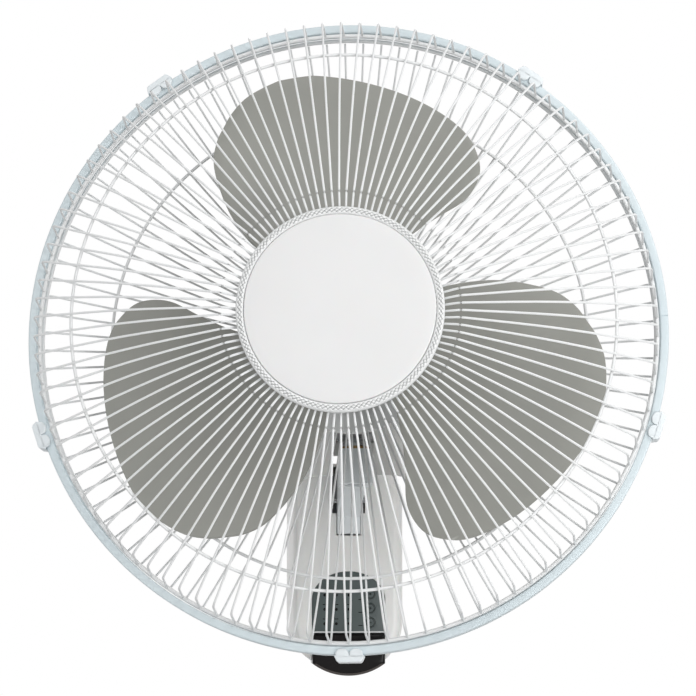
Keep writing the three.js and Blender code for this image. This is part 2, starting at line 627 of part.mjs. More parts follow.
// The whole outlines of the guard wires, from the hub plates to the rims.
const frontWire = [
  [FRONT_HUB.outer - CAGE.wireRoot, wireRootForward],
  [FRONT_HUB.outer + CAGE.kinkReach, FRONT_HUB.back + CAGE.kinkRise],
  ...FRONT_BENDS.map(([inset, forward]) => [CAGE.rimRadius - inset, forward]),
  [CAGE.rimRadius, frontRimForward + CAGE.rim + SEAT],
];
const rearWire = [
  [REAR_HUB.outer - CAGE.wireRoot, REAR_HUB.wireDepth - rearHubBack - CAGE.plane],
  ...REAR_BENDS.map(([inset, forward]) => [CAGE.rimRadius - inset, forward]),
  [CAGE.rimRadius - CAGE.wire - 2 * SEAT, rearRimForward],
];
const capRadius = CAP.disc + CAP.rim;
const skirtBack = FRONT_HUB.back + FRONT_HUB.thickness + SEAT;
const capBack = Math.max(
  onOutline(frontWire, capRadius) + CAGE.wire + SEAT, skirtBack + CAP.skirtLeast);

function swivelYoke() {
  const top = -MOTOR.stator + YOKE.saddle;
  const seat = bar('y', MOTOR.stator + SEAT, -2 * YOKE.plateBack, 2 * YOKE.plateBack, [0, 0], 36);
  const body = block([-YOKE.halfWidth, YOKE.front, YOKE.bottom], [YOKE.halfWidth, YOKE.back, top]);
  const plate = block(
    [-YOKE.plateHalfWidth, YOKE.back - FUSE, swingMotorTop + SEAT],
    [YOKE.plateHalfWidth, YOKE.plateBack, swingMotorTop + SEAT + YOKE.plate]);
  const socket = bar('z', SWIVEL.radius + SEAT, YOKE.bottom - PAST, swivelTop + SEAT, [0, 0], 16);
  return combine([body, plate], [seat, socket]);
}

function swivelShaft() {
  const shoulderLow = bushTop + SEAT - neckRise;
  const shoulderHigh = shoulderLow + SWIVEL.shoulderLength;
  const end = SWIVEL.bottomInNeck - neckRise;
  return turned([
    [0, end], [SWIVEL.radius, end], [SWIVEL.radius, shoulderLow], [SWIVEL.shoulder, shoulderLow],
    [SWIVEL.shoulder, shoulderHigh], [SWIVEL.radius, shoulderHigh], [SWIVEL.radius, swivelTop], [0, swivelTop],
  ], 12).rotateX(Math.PI / 2);
}

function swivelCollar() {
  const top = BUSH.bottom - SEAT - neckRise;
  const low = top - SWIVEL.collarLength;
  return turned([
    [SWIVEL.radius + SEAT, low], [BUSH.outer, low], [BUSH.outer, top], [SWIVEL.radius + SEAT, top],
  ], 12).rotateX(Math.PI / 2);
}

function swingMotor() {
  const can = bar('z', SWING_MOTOR.radius, swingMotorBottom, swingMotorTop, [0, SWING_MOTOR.y], 20);
  const shaft = bar('z', SWING_MOTOR.shaft, swingMotorBottom + FUSE,
    swingMotorBottom - SWING_MOTOR.shaftLength, [0, SWING_MOTOR.y], 10);
  return combine([can, shaft]);
}

function crankDisc() {
  const top = swingMotorBottom - SEAT;
  const low = top - CRANK.thickness;
  const pinEnd = DRIVE_PAD.top - neckRise + CRANK.pinGap;
  const disc = bar('z', CRANK.radius, low, top, [0, 0], 16);
  const bore = bar('z', SWING_MOTOR.shaft + SEAT, low + FUSE, top + PAST, [0, 0], 10);
  const pin = bar('z', CRANK.pin, pinEnd, low + FUSE, [CRANK.throw, 0], 8);
  return combine([disc, pin], [bore]);
}

function capacitor() {
  const side = YOKE.halfWidth + SEAT;
  const low = YOKE.bottom - CAPACITOR.drop;
  return block([side, CAPACITOR.front, low], [side + CAPACITOR.width, CAPACITOR.back, low + CAPACITOR.height]);
}

function motorFrontCover() {
  const face = MOTOR.front + MOTOR.wall + SEAT;
  const cover = turned([
    [SLEEVE.inner, sleeveFront], [SLEEVE.outer, sleeveFront], [SLEEVE.outer, MOTOR.front],
    [MOTOR.cover - MOTOR.chamfer, MOTOR.front], [MOTOR.cover, coverShoulder], [MOTOR.cover, coverSplit],
    [MOTOR.cover - MOTOR.wall, coverSplit], [MOTOR.cover - MOTOR.wall, coverShoulder + MOTOR.wall / 2],
    [MOTOR.cover - MOTOR.chamfer - MOTOR.wall / 2, face], [SLEEVE.inner, face],
  ], 30);
  const vents = [];
  for (let i = 0; i < VENT.count; i += 1) {
    const angle = ((i + 0.5) * 2 * Math.PI) / VENT.count;
    vents.push(block([-VENT.width / 2, MOTOR.front - PAST, VENT.inner], [VENT.width / 2, face + PAST, VENT.outer])
      .rotateY(VENT.lean).rotateY(angle));
  }
  return combine([cover], vents);
}

const shaftBack = bearingBack + MOTOR.shaft;
const screwSeat = shaftBack + SEAT + MOTOR.web;

/** The rear cover's outline as [radius, y] points from the split to the back, drawn in by an inset. */
function rearCoverOutline(inset) {
  const radius = MOTOR.cover - inset;
  const dome = MOTOR.back - MOTOR.cylinderEnd - inset;
  const points = [[radius, MOTOR.cylinderEnd]];
  const steps = 5;
  for (let i = 1; i <= steps; i += 1) {
    const turn = (i / steps) * 0.5 * Math.PI;
    const reach = i === steps ? 0 : radius * Math.cos(turn) ** MOTOR.domePower;
    points.push([reach, MOTOR.cylinderEnd + dome * Math.sin(turn)]);
  }
  return points;
}

function motorRearCover() {
  const start = coverSplit + SEAT;
  const bottom = YOKE.bottom - CHIN.drop;
  const heel = YOKE.bottom - CHIN.heelDrop;
  const outer = turned([[0, start], [MOTOR.cover, start], ...rearCoverOutline(0)], 30);
  const inner = turned(
    [[0, start - PAST], [MOTOR.cover - MOTOR.wall, start - PAST], ...rearCoverOutline(MOTOR.wall)], 30);
  const chinShape = (inset) => roundRectangle(
    -CHIN.halfWidth + inset, CHIN.halfWidth - inset, start + inset, CHIN.back - inset, CHIN.corner - inset);
  const chinSolid = (inset, low) => new THREE.ExtrudeGeometry(chinShape(inset), {
    depth: CHIN.lap - MOTOR.stator - low, bevelEnabled: false, curveSegments: 4,
  }).translate(0, 0, low);
  const heelCut = prismX([
    [CHIN.lipY, bottom - PAST], [CHIN.lipY, bottom], [CHIN.heelY, heel],
    [CHIN.back + PAST, heel], [CHIN.back + PAST, bottom - PAST],
  ], -CHIN.halfWidth - PAST, CHIN.halfWidth + PAST);
  const notch = block(
    [-CHIN.notch, start - PAST, bottom - PAST], [CHIN.notch, start + CHIN.notchDepth, YOKE.bottom]);
  const screwHole = bar('y', SCREW.shank + SEAT, MOTOR.cylinderEnd, MOTOR.back + PAST, [0, 0], 10);
  const vents = [];
  for (let i = 0; i < VENT.rearCount; i += 1) {
    const angle = ((i + 0.5) * 2 * Math.PI) / VENT.rearCount;
    vents.push(block(
      [-VENT.width / 2, MOTOR.cylinderEnd, VENT.rearInner], [VENT.width / 2, MOTOR.back + PAST, VENT.rearOuter])
      .rotateY(angle));
  }
  return combine([outer, chinSolid(0, bottom)],
    [inner, chinSolid(MOTOR.wall, bottom - PAST), heelCut, notch, screwHole, ...vents]);
}

function rearCoverScrew() {
  const headBack = MOTOR.back + SEAT;
  return turned([
    [0, screwSeat + SEAT], [SCREW.shank, screwSeat + SEAT], [SCREW.shank, headBack], [SCREW.head, headBack],
    [SCREW.head, headBack + SCREW.headLength], [0, headBack + SCREW.headLength],
  ], 10);
}

/** A motor end bracket: bearing boss, web and rim. The side is -1 at the front and 1 at the back. */
function endBracket(side) {
  const rimEnd = MOTOR.statorHalf + SEAT;
  const web = bracketFace - MOTOR.web;
  const seat = MOTOR.bearing + SEAT;
  const boss = MOTOR.bearing + MOTOR.bracketWall;
  const bossInner = bracketFace - MOTOR.bearingLength;
  const disc = [
    [boss, bossInner], [boss, web], [MOTOR.stator - MOTOR.bracketWall, web],
    [MOTOR.stator - MOTOR.bracketWall, rimEnd], [MOTOR.stator, rimEnd], [MOTOR.stator, bracketFace],
  ];
  if (side < 0) {
    const profile = [[seat, bracketFace], [seat, bossInner], ...disc];
    return turned(profile.map(([radius, y]) => [radius, -y]), 20);
  }
  const bore = SCREW.shank + SEAT;
  return turned([
    [0, shaftBack + SEAT], [seat, shaftBack + SEAT], [seat, bossInner], ...disc, [boss, bracketFace],
    [boss, screwSeat], [bore + SCREW.cone, screwSeat + SCREW.thread], [bore, screwSeat + SCREW.thread],
    [bore, screwSeat], [0, screwSeat],
  ], 20);
}

function bearing(side) {
  const inner = bearingBack - MOTOR.bearingLength;
  return turned([
    [MOTOR.shaft + RUN, side * inner], [MOTOR.bearing, side * inner], [MOTOR.bearing, side * bearingBack],
    [MOTOR.shaft + RUN, side * bearingBack],
  ], 16);
}

function statorCore() {
  return turned([
    [statorBore, -MOTOR.statorHalf], [MOTOR.stator, -MOTOR.statorHalf], [MOTOR.stator, MOTOR.statorHalf],
    [statorBore, MOTOR.statorHalf],
  ], 24);
}

function winding(side) {
  const inner = statorBore + MOTOR.coilGap;
  const outer = MOTOR.stator - MOTOR.bracketWall - MOTOR.coilGap;
  const [near, far] = [MOTOR.statorHalf + SEAT, MOTOR.statorHalf + MOTOR.coilLength];
  return turned([
    [inner, side * near], [outer, side * near], [outer, side * (far - MOTOR.coilEdge)],
    [outer - MOTOR.coilEdge, side * far], [inner + MOTOR.coilEdge, side * far],
    [inner, side * (far - MOTOR.coilEdge)],
  ], 20);
}

function clampRing() {
  const bandInner = clampOuter - CLAMP.band;
  return turnedInHead([
    [clampInner, CLAMP.back], [clampOuter, CLAMP.back], [clampOuter, CLAMP.front],
    [clampInner, CLAMP.front], [clampInner, CLAMP.front - CLAMP.flange],
    [bandInner, CLAMP.front - CLAMP.flange], [bandInner, CLAMP.back + CLAMP.flange],
    [clampInner, CLAMP.back + CLAMP.flange],
  ], 48);
}

// The hub plates are turned by half a wire step, so that no wire meets an edge between two facets.
const halfWireStep = Math.PI / CAGE.wires;

/** A guard half: a hub plate with its wires. */
function guard(hub, outline) {
  let solid = toSolid(hub);
  for (let i = 0; i < CAGE.wires; i += 1) {
    solid = solid.add(toSolid(guardWire(outline, (i * 2 * Math.PI) / CAGE.wires)));
  }
  return toGeometry(solid);
}

function frontGrille() {
  const hub = turnedInHead([
    [FRONT_HUB.inner, FRONT_HUB.back], [FRONT_HUB.outer, FRONT_HUB.back],
    [FRONT_HUB.outer, FRONT_HUB.back + FRONT_HUB.thickness], [FRONT_HUB.inner, FRONT_HUB.back + FRONT_HUB.thickness],
  ], CAGE.hubSides, halfWireStep);
  return guard(hub, frontWire);
}

function rearGrille() {
  const front = rearHubBack - REAR_HUB.thickness;
  const hub = turned([
    [SLEEVE.outer + SEAT, rearHubBack], [REAR_HUB.outer, rearHubBack], [REAR_HUB.outer, front],
    [SLEEVE.outer + SEAT, front],
  ], CAGE.hubSides, halfWireStep);
  return guard(hub, rearWire);
}

function grilleNut() {
  const ring = turned([
    [SLEEVE.outer + SEAT, nutFront], [GRILLE_NUT.outer - GRILLE_NUT.taper, nutFront],
    [GRILLE_NUT.outer, nutBack - GRILLE_NUT.edge], [GRILLE_NUT.outer, nutBack], [SLEEVE.outer + SEAT, nutBack],
  ], 24);
  const ribs = [];
  for (let i = 0; i < GRILLE_NUT.ribs; i += 1) {
    ribs.push(block(
      [-GRILLE_NUT.rib / 2, nutFront, SLEEVE.outer + PAST],
      [GRILLE_NUT.rib / 2, nutBack - FUSE, GRILLE_NUT.outer])
      .rotateY((i * 2 * Math.PI) / GRILLE_NUT.ribs));
  }
  return combine([ring, ...ribs]);
}

function centreCap() {
  const skirt = FRONT_HUB.inner + CAP.skirtLap;
  const front = capBack + CAP.thickness;
  return turnedInHead([
    [0, capBack + CAP.floor], [skirt - CAP.skirtWall, capBack + CAP.floor], [skirt - CAP.skirtWall, skirtBack],
    [skirt, skirtBack], [skirt, capBack], [CAP.disc, capBack], [CAP.disc, capBack + CAP.ringThickness],
    [CAP.disc - CAP.edgeWidth, front - CAP.crown], [0, front],
  ], 40);
}

function capRing() {
  const front = capBack + CAP.ringThickness;
  return turnedInHead([
    [CAP.disc + SEAT, capBack], [capRadius, capBack], [capRadius, front - CAP.ringEdge],
    [capRadius - CAP.ringEdge, front], [CAP.disc + SEAT, front],
  ], 40);
}

/** A guard latch at the top of the ring: a hinged plate with a lip over the ring's front edge. */
function latch() {
  const [low, high] = [clampOuter + SEAT, clampOuter + LATCH.height];
  const lipBack = CLAMP.front + SEAT;
  const lipFront = lipBack + LATCH.lipThickness;
  const outline = [
    [low, CLAMP.back], [high - LATCH.edge, CLAMP.back], [high, CLAMP.back + LATCH.lead], [high, CLAMP.front],
    [high - LATCH.edge, lipFront], [clampOuter - LATCH.lip, lipFront], [clampOuter - LATCH.lip, lipBack],
    [low, lipBack],
  ];
  return prismX(outline.map(([radius, forward]) => [headY(forward), radius]), -LATCH.length / 2, LATCH.length / 2);
}

function buildRotor() {
  const rotor = new THREE.Group();
  rotor.add(piece('motor_shaft', motorShaft(), STEEL));
  rotor.add(piece('rotor_core', rotorCore(), CAST_METAL));
  rotor.add(piece('impeller', impeller(), BLADE_GREY));
  rotor.add(piece('spinner_nut', spinnerNut(), DARK_PLASTIC));
  rotor.add(piece('drive_pin', drivePin(), STEEL));
  return rotor;
}

function buildHead() {
  const head = new THREE.Group();
  const frontRingForward = besideOutline(frontWire, FRONT_RING.radius, FRONT_RING.seat, -1);
  const rearRingForward = besideOutline(rearWire, REAR_RING.radius, REAR_RING.seat, 1);
  head.add(piece('swivel_yoke', swivelYoke(), CAST_METAL));
  head.add(piece('swivel_shaft', swivelShaft(), STEEL));
  head.add(piece('swivel_collar', swivelCollar(), STEEL));
  head.add(piece('swing_motor', swingMotor(), CAST_METAL));
  const crank = piece('crank_disc', crankDisc(), DARK_PLASTIC);
  crank.position.set(0, SWING_MOTOR.y, 0);
  head.add(crank);
  head.add(piece('capacitor', capacitor(), DARK_PLASTIC));
  head.add(piece('motor_front_cover', motorFrontCover(), WHITE_PLASTIC));
  head.add(piece('motor_rear_cover', motorRearCover(), WHITE_PLASTIC));
  head.add(piece('rear_cover_screw', rearCoverScrew(), STEEL));
  head.add(piece('front_bracket', endBracket(-1), CAST_METAL));
  head.add(piece('rear_bracket', endBracket(1), CAST_METAL));
  head.add(piece('front_bearing', bearing(-1), BRONZE));
  head.add(piece('rear_bearing', bearing(1), BRONZE));
  head.add(piece('stator_core', statorCore(), CAST_METAL));
  head.add(piece('front_winding', winding(-1), COPPER));
  head.add(piece('rear_winding', winding(1), COPPER));
  head.add(piece('rear_grille', rearGrille(), WHITE_WIRE));
  head.add(piece('rear_ring_wire', wireRing(REAR_RING.radius, rearRingForward, CAGE.ring), WHITE_WIRE));
  head.add(piece('rear_rim_wire', wireRing(CAGE.rimRadius, rearRimForward, CAGE.rim), WHITE_WIRE));
  head.add(piece('grille_nut', grilleNut(), WHITE_PLASTIC));
  head.add(piece('front_grille', frontGrille(), WHITE_WIRE));
  head.add(piece('front_ring_wire', wireRing(FRONT_RING.radius, frontRingForward, CAGE.ring), WHITE_WIRE));
  head.add(piece('front_rim_wire', wireRing(CAGE.rimRadius, frontRimForward, CAGE.rim), WHITE_WIRE));
  head.add(piece('clamp_ring', clampRing(), COOL_PLASTIC));
  head.add(piece('centre_cap', centreCap(), WHITE_PLASTIC));
  head.add(piece('cap_ring', capRing(), WHITE_PLASTIC));
  for (let i = 0; i < LATCH.count; i += 1) {
    const clip = piece(`latch_${i + 1}`, latch(), COOL_PLASTIC);
    clip.rotation.y = (LATCH.first + (i * 360) / LATCH.count) * RAD;
    head.add(clip);
  }
  head.add(buildRotor());
  return head;
}

// ---------------------------------------------------------------- rotor
function motorShaft() {
  const tip = headY(HUB.front + SPINNER.shaftGrip);
  const shaft = bar('y', MOTOR.shaft, tip, shaftBack, [0, 0], 16);
  const pinY = headY(HUB.bossBack - SEAT - DRIVE_PIN.radius);
  const bore = bar('x', DRIVE_PIN.radius + SEAT, -2 * MOTOR.shaft, 2 * MOTOR.shaft, [pinY, 0], 10);
  return combine([shaft], [bore]);
}

function rotorCore() {
  return turned([
    [MOTOR.shaft + SEAT, -MOTOR.rotorHalf], [MOTOR.rotor, -MOTOR.rotorHalf], [MOTOR.rotor, MOTOR.rotorHalf],
    [MOTOR.shaft + SEAT, MOTOR.rotorHalf],
  ], 24);
}

/** One blade: a thin plate bent along its chord, as a warped box of radius and chord steps. */
function blade(angle) {
  const steps = BLADE_EDGES.length - 1;
  const sheet = new THREE.BoxGeometry(1, 1, 1, steps, BLADE.chordSteps, 1);
  const corners = sheet.getAttribute('position');
  for (let i = 0; i < corners.count; i += 1) {
    const row = Math.round((corners.getX(i) + 0.5) * steps);
    const chord = corners.getY(i) + 0.5;
    const [radius, trailing, leading] = BLADE_EDGES[row];
    const turn = THREE.MathUtils.lerp(trailing, leading, chord) * RAD + angle;
    const dish = BLADE.dish * Math.sin(Math.PI * chord);
    const forward = BLADE.plane + THREE.MathUtils.lerp(BLADE.trailing, BLADE.leading, chord) - dish;
    corners.setXYZ(i, radius * Math.sin(turn), headY(forward) + corners.getZ(i) * BLADE.thickness,
      radius * Math.cos(turn));
  }
  return sheet;
}

function impeller() {
  const hub = turnedInHead([
    [MOTOR.shaft + SEAT, HUB.front], [HUB.radius - HUB.chamfer, HUB.front],
    [HUB.radius, HUB.front - HUB.chamfer], [HUB.radius, HUB.back], [HUB.radius - HUB.wall, HUB.back],
    [HUB.radius - HUB.wall, HUB.front - HUB.wall - HUB.chamfer],
    [HUB.radius - HUB.wall - HUB.chamfer, HUB.front - HUB.wall],
    [HUB.boss, HUB.front - HUB.wall], [HUB.boss, HUB.bossBack], [MOTOR.shaft + SEAT, HUB.bossBack],
  ], 24);
  const blades = Array.from({ length: BLADE.count }, (_, i) => blade((i * 2 * Math.PI) / BLADE.count));
  return combine([hub, ...blades]);
}

function spinnerNut() {
  const back = HUB.front + SEAT;
  return turnedInHead([
    [0, HUB.front + SPINNER.shaftGrip + SEAT], [MOTOR.shaft + SEAT, HUB.front + SPINNER.shaftGrip + SEAT],
    [MOTOR.shaft + SEAT, back], [SPINNER.radius, back], [SPINNER.radius, back + SPINNER.collar],
    [SPINNER.top, back + SPINNER.length], [0, back + SPINNER.length],
  ], 20);
}

function drivePin() {
  const pinY = headY(HUB.bossBack - SEAT - DRIVE_PIN.radius);
  return bar('x', DRIVE_PIN.radius, -DRIVE_PIN.halfLength, DRIVE_PIN.halfLength, [pinY, 0], 10);
}

// ---------------------------------------------------------------- assembly
const fan = new THREE.Group();
fan.add(buildBase());
const neck = buildNeck();
neck.position.set(0, pivotY, PIVOT.z);
neck.rotation.x = -REST.tilt;
fan.add(neck);
const head = buildHead();
head.position.set(0, -NECK.forward, neckRise);
head.rotation.z = REST.swing;
neck.add(head);

export default fan;
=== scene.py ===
"""Wall mounted fan: moulded body with a key panel, tilting neck, motor head, wire guard and impeller.

Shapes are drawn in millimetres in the frame of the sub-assembly that carries them, and every place
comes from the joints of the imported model. A piece is moved into the shared frame, in metres, as its
last step.
"""

import json
import logging
import math
from collections.abc import Iterable, Sequence
from dataclasses import dataclass
from enum import Enum
from functools import cached_property

import bmesh
import bpy
from mathutils import Matrix, Vector


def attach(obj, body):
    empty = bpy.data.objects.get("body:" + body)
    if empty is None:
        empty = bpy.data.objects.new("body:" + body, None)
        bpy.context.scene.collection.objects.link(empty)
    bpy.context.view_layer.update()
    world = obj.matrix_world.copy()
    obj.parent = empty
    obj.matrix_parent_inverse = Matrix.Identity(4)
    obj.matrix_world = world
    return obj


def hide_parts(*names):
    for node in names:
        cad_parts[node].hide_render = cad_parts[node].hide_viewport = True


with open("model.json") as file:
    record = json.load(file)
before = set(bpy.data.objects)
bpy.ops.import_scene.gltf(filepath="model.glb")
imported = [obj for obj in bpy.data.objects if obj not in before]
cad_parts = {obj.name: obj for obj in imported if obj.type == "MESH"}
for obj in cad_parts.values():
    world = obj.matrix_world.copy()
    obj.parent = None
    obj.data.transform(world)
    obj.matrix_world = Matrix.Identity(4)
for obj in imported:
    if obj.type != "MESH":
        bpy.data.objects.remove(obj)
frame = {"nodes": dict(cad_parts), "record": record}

MM = 0.001
TURN = 2 * math.pi
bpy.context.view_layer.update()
log = logging.getLogger("wall_fan")

# Where on a value's way from 0 to 1 a surface effect starts and ends.
CLOUD_SPAN = (0.35, 0.65)
SMUDGE_SPAN = (0.3, 0.7)
# Painted highlight: the pointiness span over which sharp edges are lightened.
EDGE_HIGHLIGHT_SPAN = (0.53, 0.62)
# Painted shade: the pointiness span over which hollows are darkened.
PAINTED_SHADE_SPAN = (0.5, 0.46)
# Colour of the painted highlight on sharp edges.
EDGE_HIGHLIGHT_COLOUR = (0.8, 0.8, 0.78, 1)
# Colour of the painted shade in hollows.
PAINTED_SHADE_COLOUR = (0.16, 0.165, 0.165, 1)

Point = tuple[float, float]
Mesh = bmesh.types.BMesh
Piece = bpy.types.Object


# ---------------------------------------------------------------- finishes
class Grain(Enum):
    """The fine relief of a finish."""

    MOULDED = "moulded"
    POLISHED = "polished"
    ENAMEL = "enamel"
    BRUSHED = "brushed"
    CAST = "cast"
    WOUND = "wound"
    STACKED = "stacked"


@dataclass(frozen=True)
class Relief:
    """How a grain is drawn: noise scale a metre, stretch along the axes, bump depth and strength."""

    scale: float
    stretch: tuple[float, float, float]
    depth: float
    strength: float
    detail: float = 3.0


RELIEFS = {
    Grain.MOULDED: Relief(1500.0, (1, 1, 1), 0.00003, 0.22),
    Grain.POLISHED: Relief(90.0, (1, 1, 1), 0.00006, 0.12, 1.0),
    Grain.ENAMEL: Relief(420.0, (1, 1, 1), 0.00005, 0.25, 2.0),
    Grain.BRUSHED: Relief(260.0, (1, 14, 1), 0.00003, 0.4),
    Grain.CAST: Relief(700.0, (1, 1, 1), 0.00012, 0.6, 5.0),
    Grain.WOUND: Relief(1500.0, (1, 0.05, 1), 0.0002, 0.9, 1.0),
    Grain.STACKED: Relief(1300.0, (0.02, 1, 0.02), 0.0001, 0.8, 1.0),
}


@dataclass(frozen=True)
class Finish:
    """A procedural surface: two mixed colours, a varied roughness, a fine relief, a painted highlight on
    sharp edges and painted shade in hollows.
    """

    name: str
    colour: tuple[float, float, float]
    tint: tuple[float, float, float]
    roughness: float
    grain: Grain
    spread: float = 0.06
    metallic: float = 0.0
    coat: float = 0.0
    cloud_scale: float = 14.0
    # Strength of the painted highlight on sharp edges.
    edge_highlight: float = 0.0
    soft: float = 0.0
    gloss: float = 0.5
    # Strength of the painted shade in hollows.
    hollow: float = 0.0

    @cached_property
    def material(self) -> bpy.types.Material:
        """The node material of this finish, made once.

        Returns:
            The material.
        """
        made = bpy.data.materials.new(self.name)
        made.use_nodes = True
        nodes = made.node_tree.nodes
        shader = nodes["Principled BSDF"]
        shader.inputs["Metallic"].default_value = self.metallic
        shader.inputs["Specular IOR Level"].default_value = self.gloss
        shader.inputs["Coat Weight"].default_value = self.coat
        shader.inputs["Coat Roughness"].default_value = 0.05
        shader.inputs["Subsurface Weight"].default_value = self.soft
        shader.inputs["Subsurface Scale"].default_value = 0.002
        place = nodes.new("ShaderNodeTexCoord").outputs["Object"]
        self._colour(made.node_tree, shader, place)
        self._roughness(made.node_tree, shader, place)
        self._relief(made.node_tree, shader, place)
        return made

    def _noise(self, tree: bpy.types.NodeTree, place: bpy.types.NodeSocket, scale: float,
               detail: float) -> bpy.types.NodeSocket:
        """Adds a noise texture.

        Args:
            tree: The node tree to add to.
            place: The coordinates that the noise reads.
            scale: Cells a metre.
            detail: Octaves.

        Returns:
            The noise's value socket.
        """
        noise = tree.nodes.new("ShaderNodeTexNoise")
        noise.inputs["Scale"].default_value = scale
        noise.inputs["Detail"].default_value = detail
        tree.links.new(place, noise.inputs["Vector"])
        return noise.outputs["Fac"]

    def _colour(self, tree: bpy.types.NodeTree, shader: bpy.types.Node, place: bpy.types.NodeSocket) -> None:
        """Mixes the two colours in soft clouds, paints a highlight on sharp edges and paints shade into
        hollows.

        Args:
            tree: The node tree to add to.
            shader: The surface shader.
            place: Object coordinates.
        """
        clouds = tree.nodes.new("ShaderNodeMapRange")
        clouds.inputs["From Min"].default_value = CLOUD_SPAN[0]
        clouds.inputs["From Max"].default_value = CLOUD_SPAN[1]
        tree.links.new(self._noise(tree, place, self.cloud_scale, 4.0), clouds.inputs["Value"])
        mix = tree.nodes.new("ShaderNodeMix")
        mix.data_type = "RGBA"
        mix.inputs["A"].default_value = (*self.colour, 1)
        mix.inputs["B"].default_value = (*self.tint, 1)
        tree.links.new(clouds.outputs["Result"], mix.inputs["Factor"])
        # Painted highlight: sharp edges, found by pointiness, are lightened towards a pale colour.
        edge = tree.nodes.new("ShaderNodeMapRange")
        edge.inputs["From Min"].default_value = EDGE_HIGHLIGHT_SPAN[0]
        edge.inputs["From Max"].default_value = EDGE_HIGHLIGHT_SPAN[1]
        edge.inputs["To Max"].default_value = self.edge_highlight
        pointiness = tree.nodes.new("ShaderNodeNewGeometry").outputs["Pointiness"]
        tree.links.new(pointiness, edge.inputs["Value"])
        highlighted_edges = tree.nodes.new("ShaderNodeMix")
        highlighted_edges.data_type = "RGBA"
        highlighted_edges.inputs["B"].default_value = EDGE_HIGHLIGHT_COLOUR
        tree.links.new(edge.outputs["Result"], highlighted_edges.inputs["Factor"])
        tree.links.new(mix.outputs["Result"], highlighted_edges.inputs["A"])
        # Painted shade: hollows, found by pointiness, are darkened towards a dark grey.
        painted_shade_factor = tree.nodes.new("ShaderNodeMapRange")
        painted_shade_factor.inputs["From Min"].default_value = PAINTED_SHADE_SPAN[0]
        painted_shade_factor.inputs["From Max"].default_value = PAINTED_SHADE_SPAN[1]
        painted_shade_factor.inputs["To Max"].default_value = self.hollow
        tree.links.new(pointiness, painted_shade_factor.inputs["Value"])
        shaded = tree.nodes.new("ShaderNodeMix")
        shaded.data_type = "RGBA"
        shaded.inputs["B"].default_value = PAINTED_SHADE_COLOUR
        tree.links.new(painted_shade_factor.outputs["Result"], shaded.inputs["Factor"])
        tree.links.new(highlighted_edges.outputs["Result"], shaded.inputs["A"])
        tree.links.new(shaded.outputs["Result"], shader.inputs["Base Color"])

    def _roughness(self, tree: bpy.types.NodeTree, shader: bpy.types.Node,
                   place: bpy.types.NodeSocket) -> None:
        """Varies the roughness, as handling and dust do.

        Args:
            tree: The node tree to add to.
            shader: The surface shader.
            place: Object coordinates.
        """
        spread = tree.nodes.new("ShaderNodeMapRange")
        spread.inputs["From Min"].default_value = SMUDGE_SPAN[0]
        spread.inputs["From Max"].default_value = SMUDGE_SPAN[1]
        spread.inputs["To Min"].default_value = max(0.02, self.roughness - self.spread)
        spread.inputs["To Max"].default_value = self.roughness + self.spread
        tree.links.new(self._noise(tree, place, 3.5 * self.cloud_scale, 5.0), spread.inputs["Value"])
        tree.links.new(spread.outputs["Result"], shader.inputs["Roughness"])

    def _relief(self, tree: bpy.types.NodeTree, shader: bpy.types.Node, place: bpy.types.NodeSocket) -> None:
        """Adds the fine relief of the grain.

        Args:
            tree: The node tree to add to.
            shader: The surface shader.
            place: Object coordinates.
        """
        relief = RELIEFS[self.grain]
        mapping = tree.nodes.new("ShaderNodeMapping")
        mapping.inputs["Scale"].default_value = relief.stretch
        tree.links.new(place, mapping.inputs["Vector"])
        bump = tree.nodes.new("ShaderNodeBump")
        bump.inputs["Strength"].default_value = relief.strength
        bump.inputs["Distance"].default_value = relief.depth
        height = self._noise(tree, mapping.outputs["Vector"], relief.scale, relief.detail)
        tree.links.new(height, bump.inputs["Height"])
        tree.links.new(bump.outputs["Normal"], shader.inputs["Normal"])


WHITE_SHELL = Finish("white_shell", (0.89, 0.89, 0.872), (0.86, 0.858, 0.838), 0.36, Grain.MOULDED, soft=0.05)
WHITE_CAP = Finish("white_cap", (0.775, 0.775, 0.775), (0.758, 0.758, 0.758), 0.40, Grain.MOULDED, soft=0.05)
WHITE_ENAMEL = Finish("white_enamel", (0.84, 0.85, 0.85), (0.80, 0.81, 0.815), 0.32, Grain.ENAMEL, gloss=0.15)
PALE_BLUE = Finish("pale_blue_band", (0.68, 0.76, 0.79), (0.645, 0.73, 0.765), 0.34, Grain.MOULDED)
# The knurl grooves carry painted shade.
KNURLED_WHITE = Finish("knurled_white", (0.86, 0.865, 0.865), (0.83, 0.84, 0.84), 0.40, Grain.MOULDED,
                       hollow=0.7)
LATCH_PALE = Finish("latch_pale", (0.82, 0.87, 0.89), (0.79, 0.84, 0.865), 0.34, Grain.MOULDED)
# Painted light: the neck's cool plastic is made lighter than the band's to offset the shade it sits in.
NECK_BLUE_PAINTED_LIGHT = Finish("neck_blue_painted_light", (0.85, 0.89, 0.90), (0.81, 0.85, 0.865), 0.4, Grain.MOULDED)
# The blades' edges carry a painted highlight.
BLADE_GREY = Finish("blade_grey", (0.310, 0.311, 0.284), (0.290, 0.291, 0.267), 0.42, Grain.MOULDED,
                    edge_highlight=0.35)
SLATE = Finish("slate_panel", (0.067, 0.088, 0.087), (0.058, 0.078, 0.077), 0.42, Grain.MOULDED)
LEGEND_DARK = Finish("legend_dark", (0.006, 0.007, 0.007), (0.012, 0.012, 0.012), 0.4, Grain.POLISHED,
                     gloss=0.1)
LEGEND_PALE = Finish("legend_pale", (0.80, 0.82, 0.82), (0.72, 0.74, 0.74), 0.4, Grain.POLISHED)
BLACK_GLASS = Finish("black_window", (0.006, 0.006, 0.006), (0.010, 0.008, 0.008), 0.07, Grain.POLISHED,
                     spread=0.03, gloss=0.14)
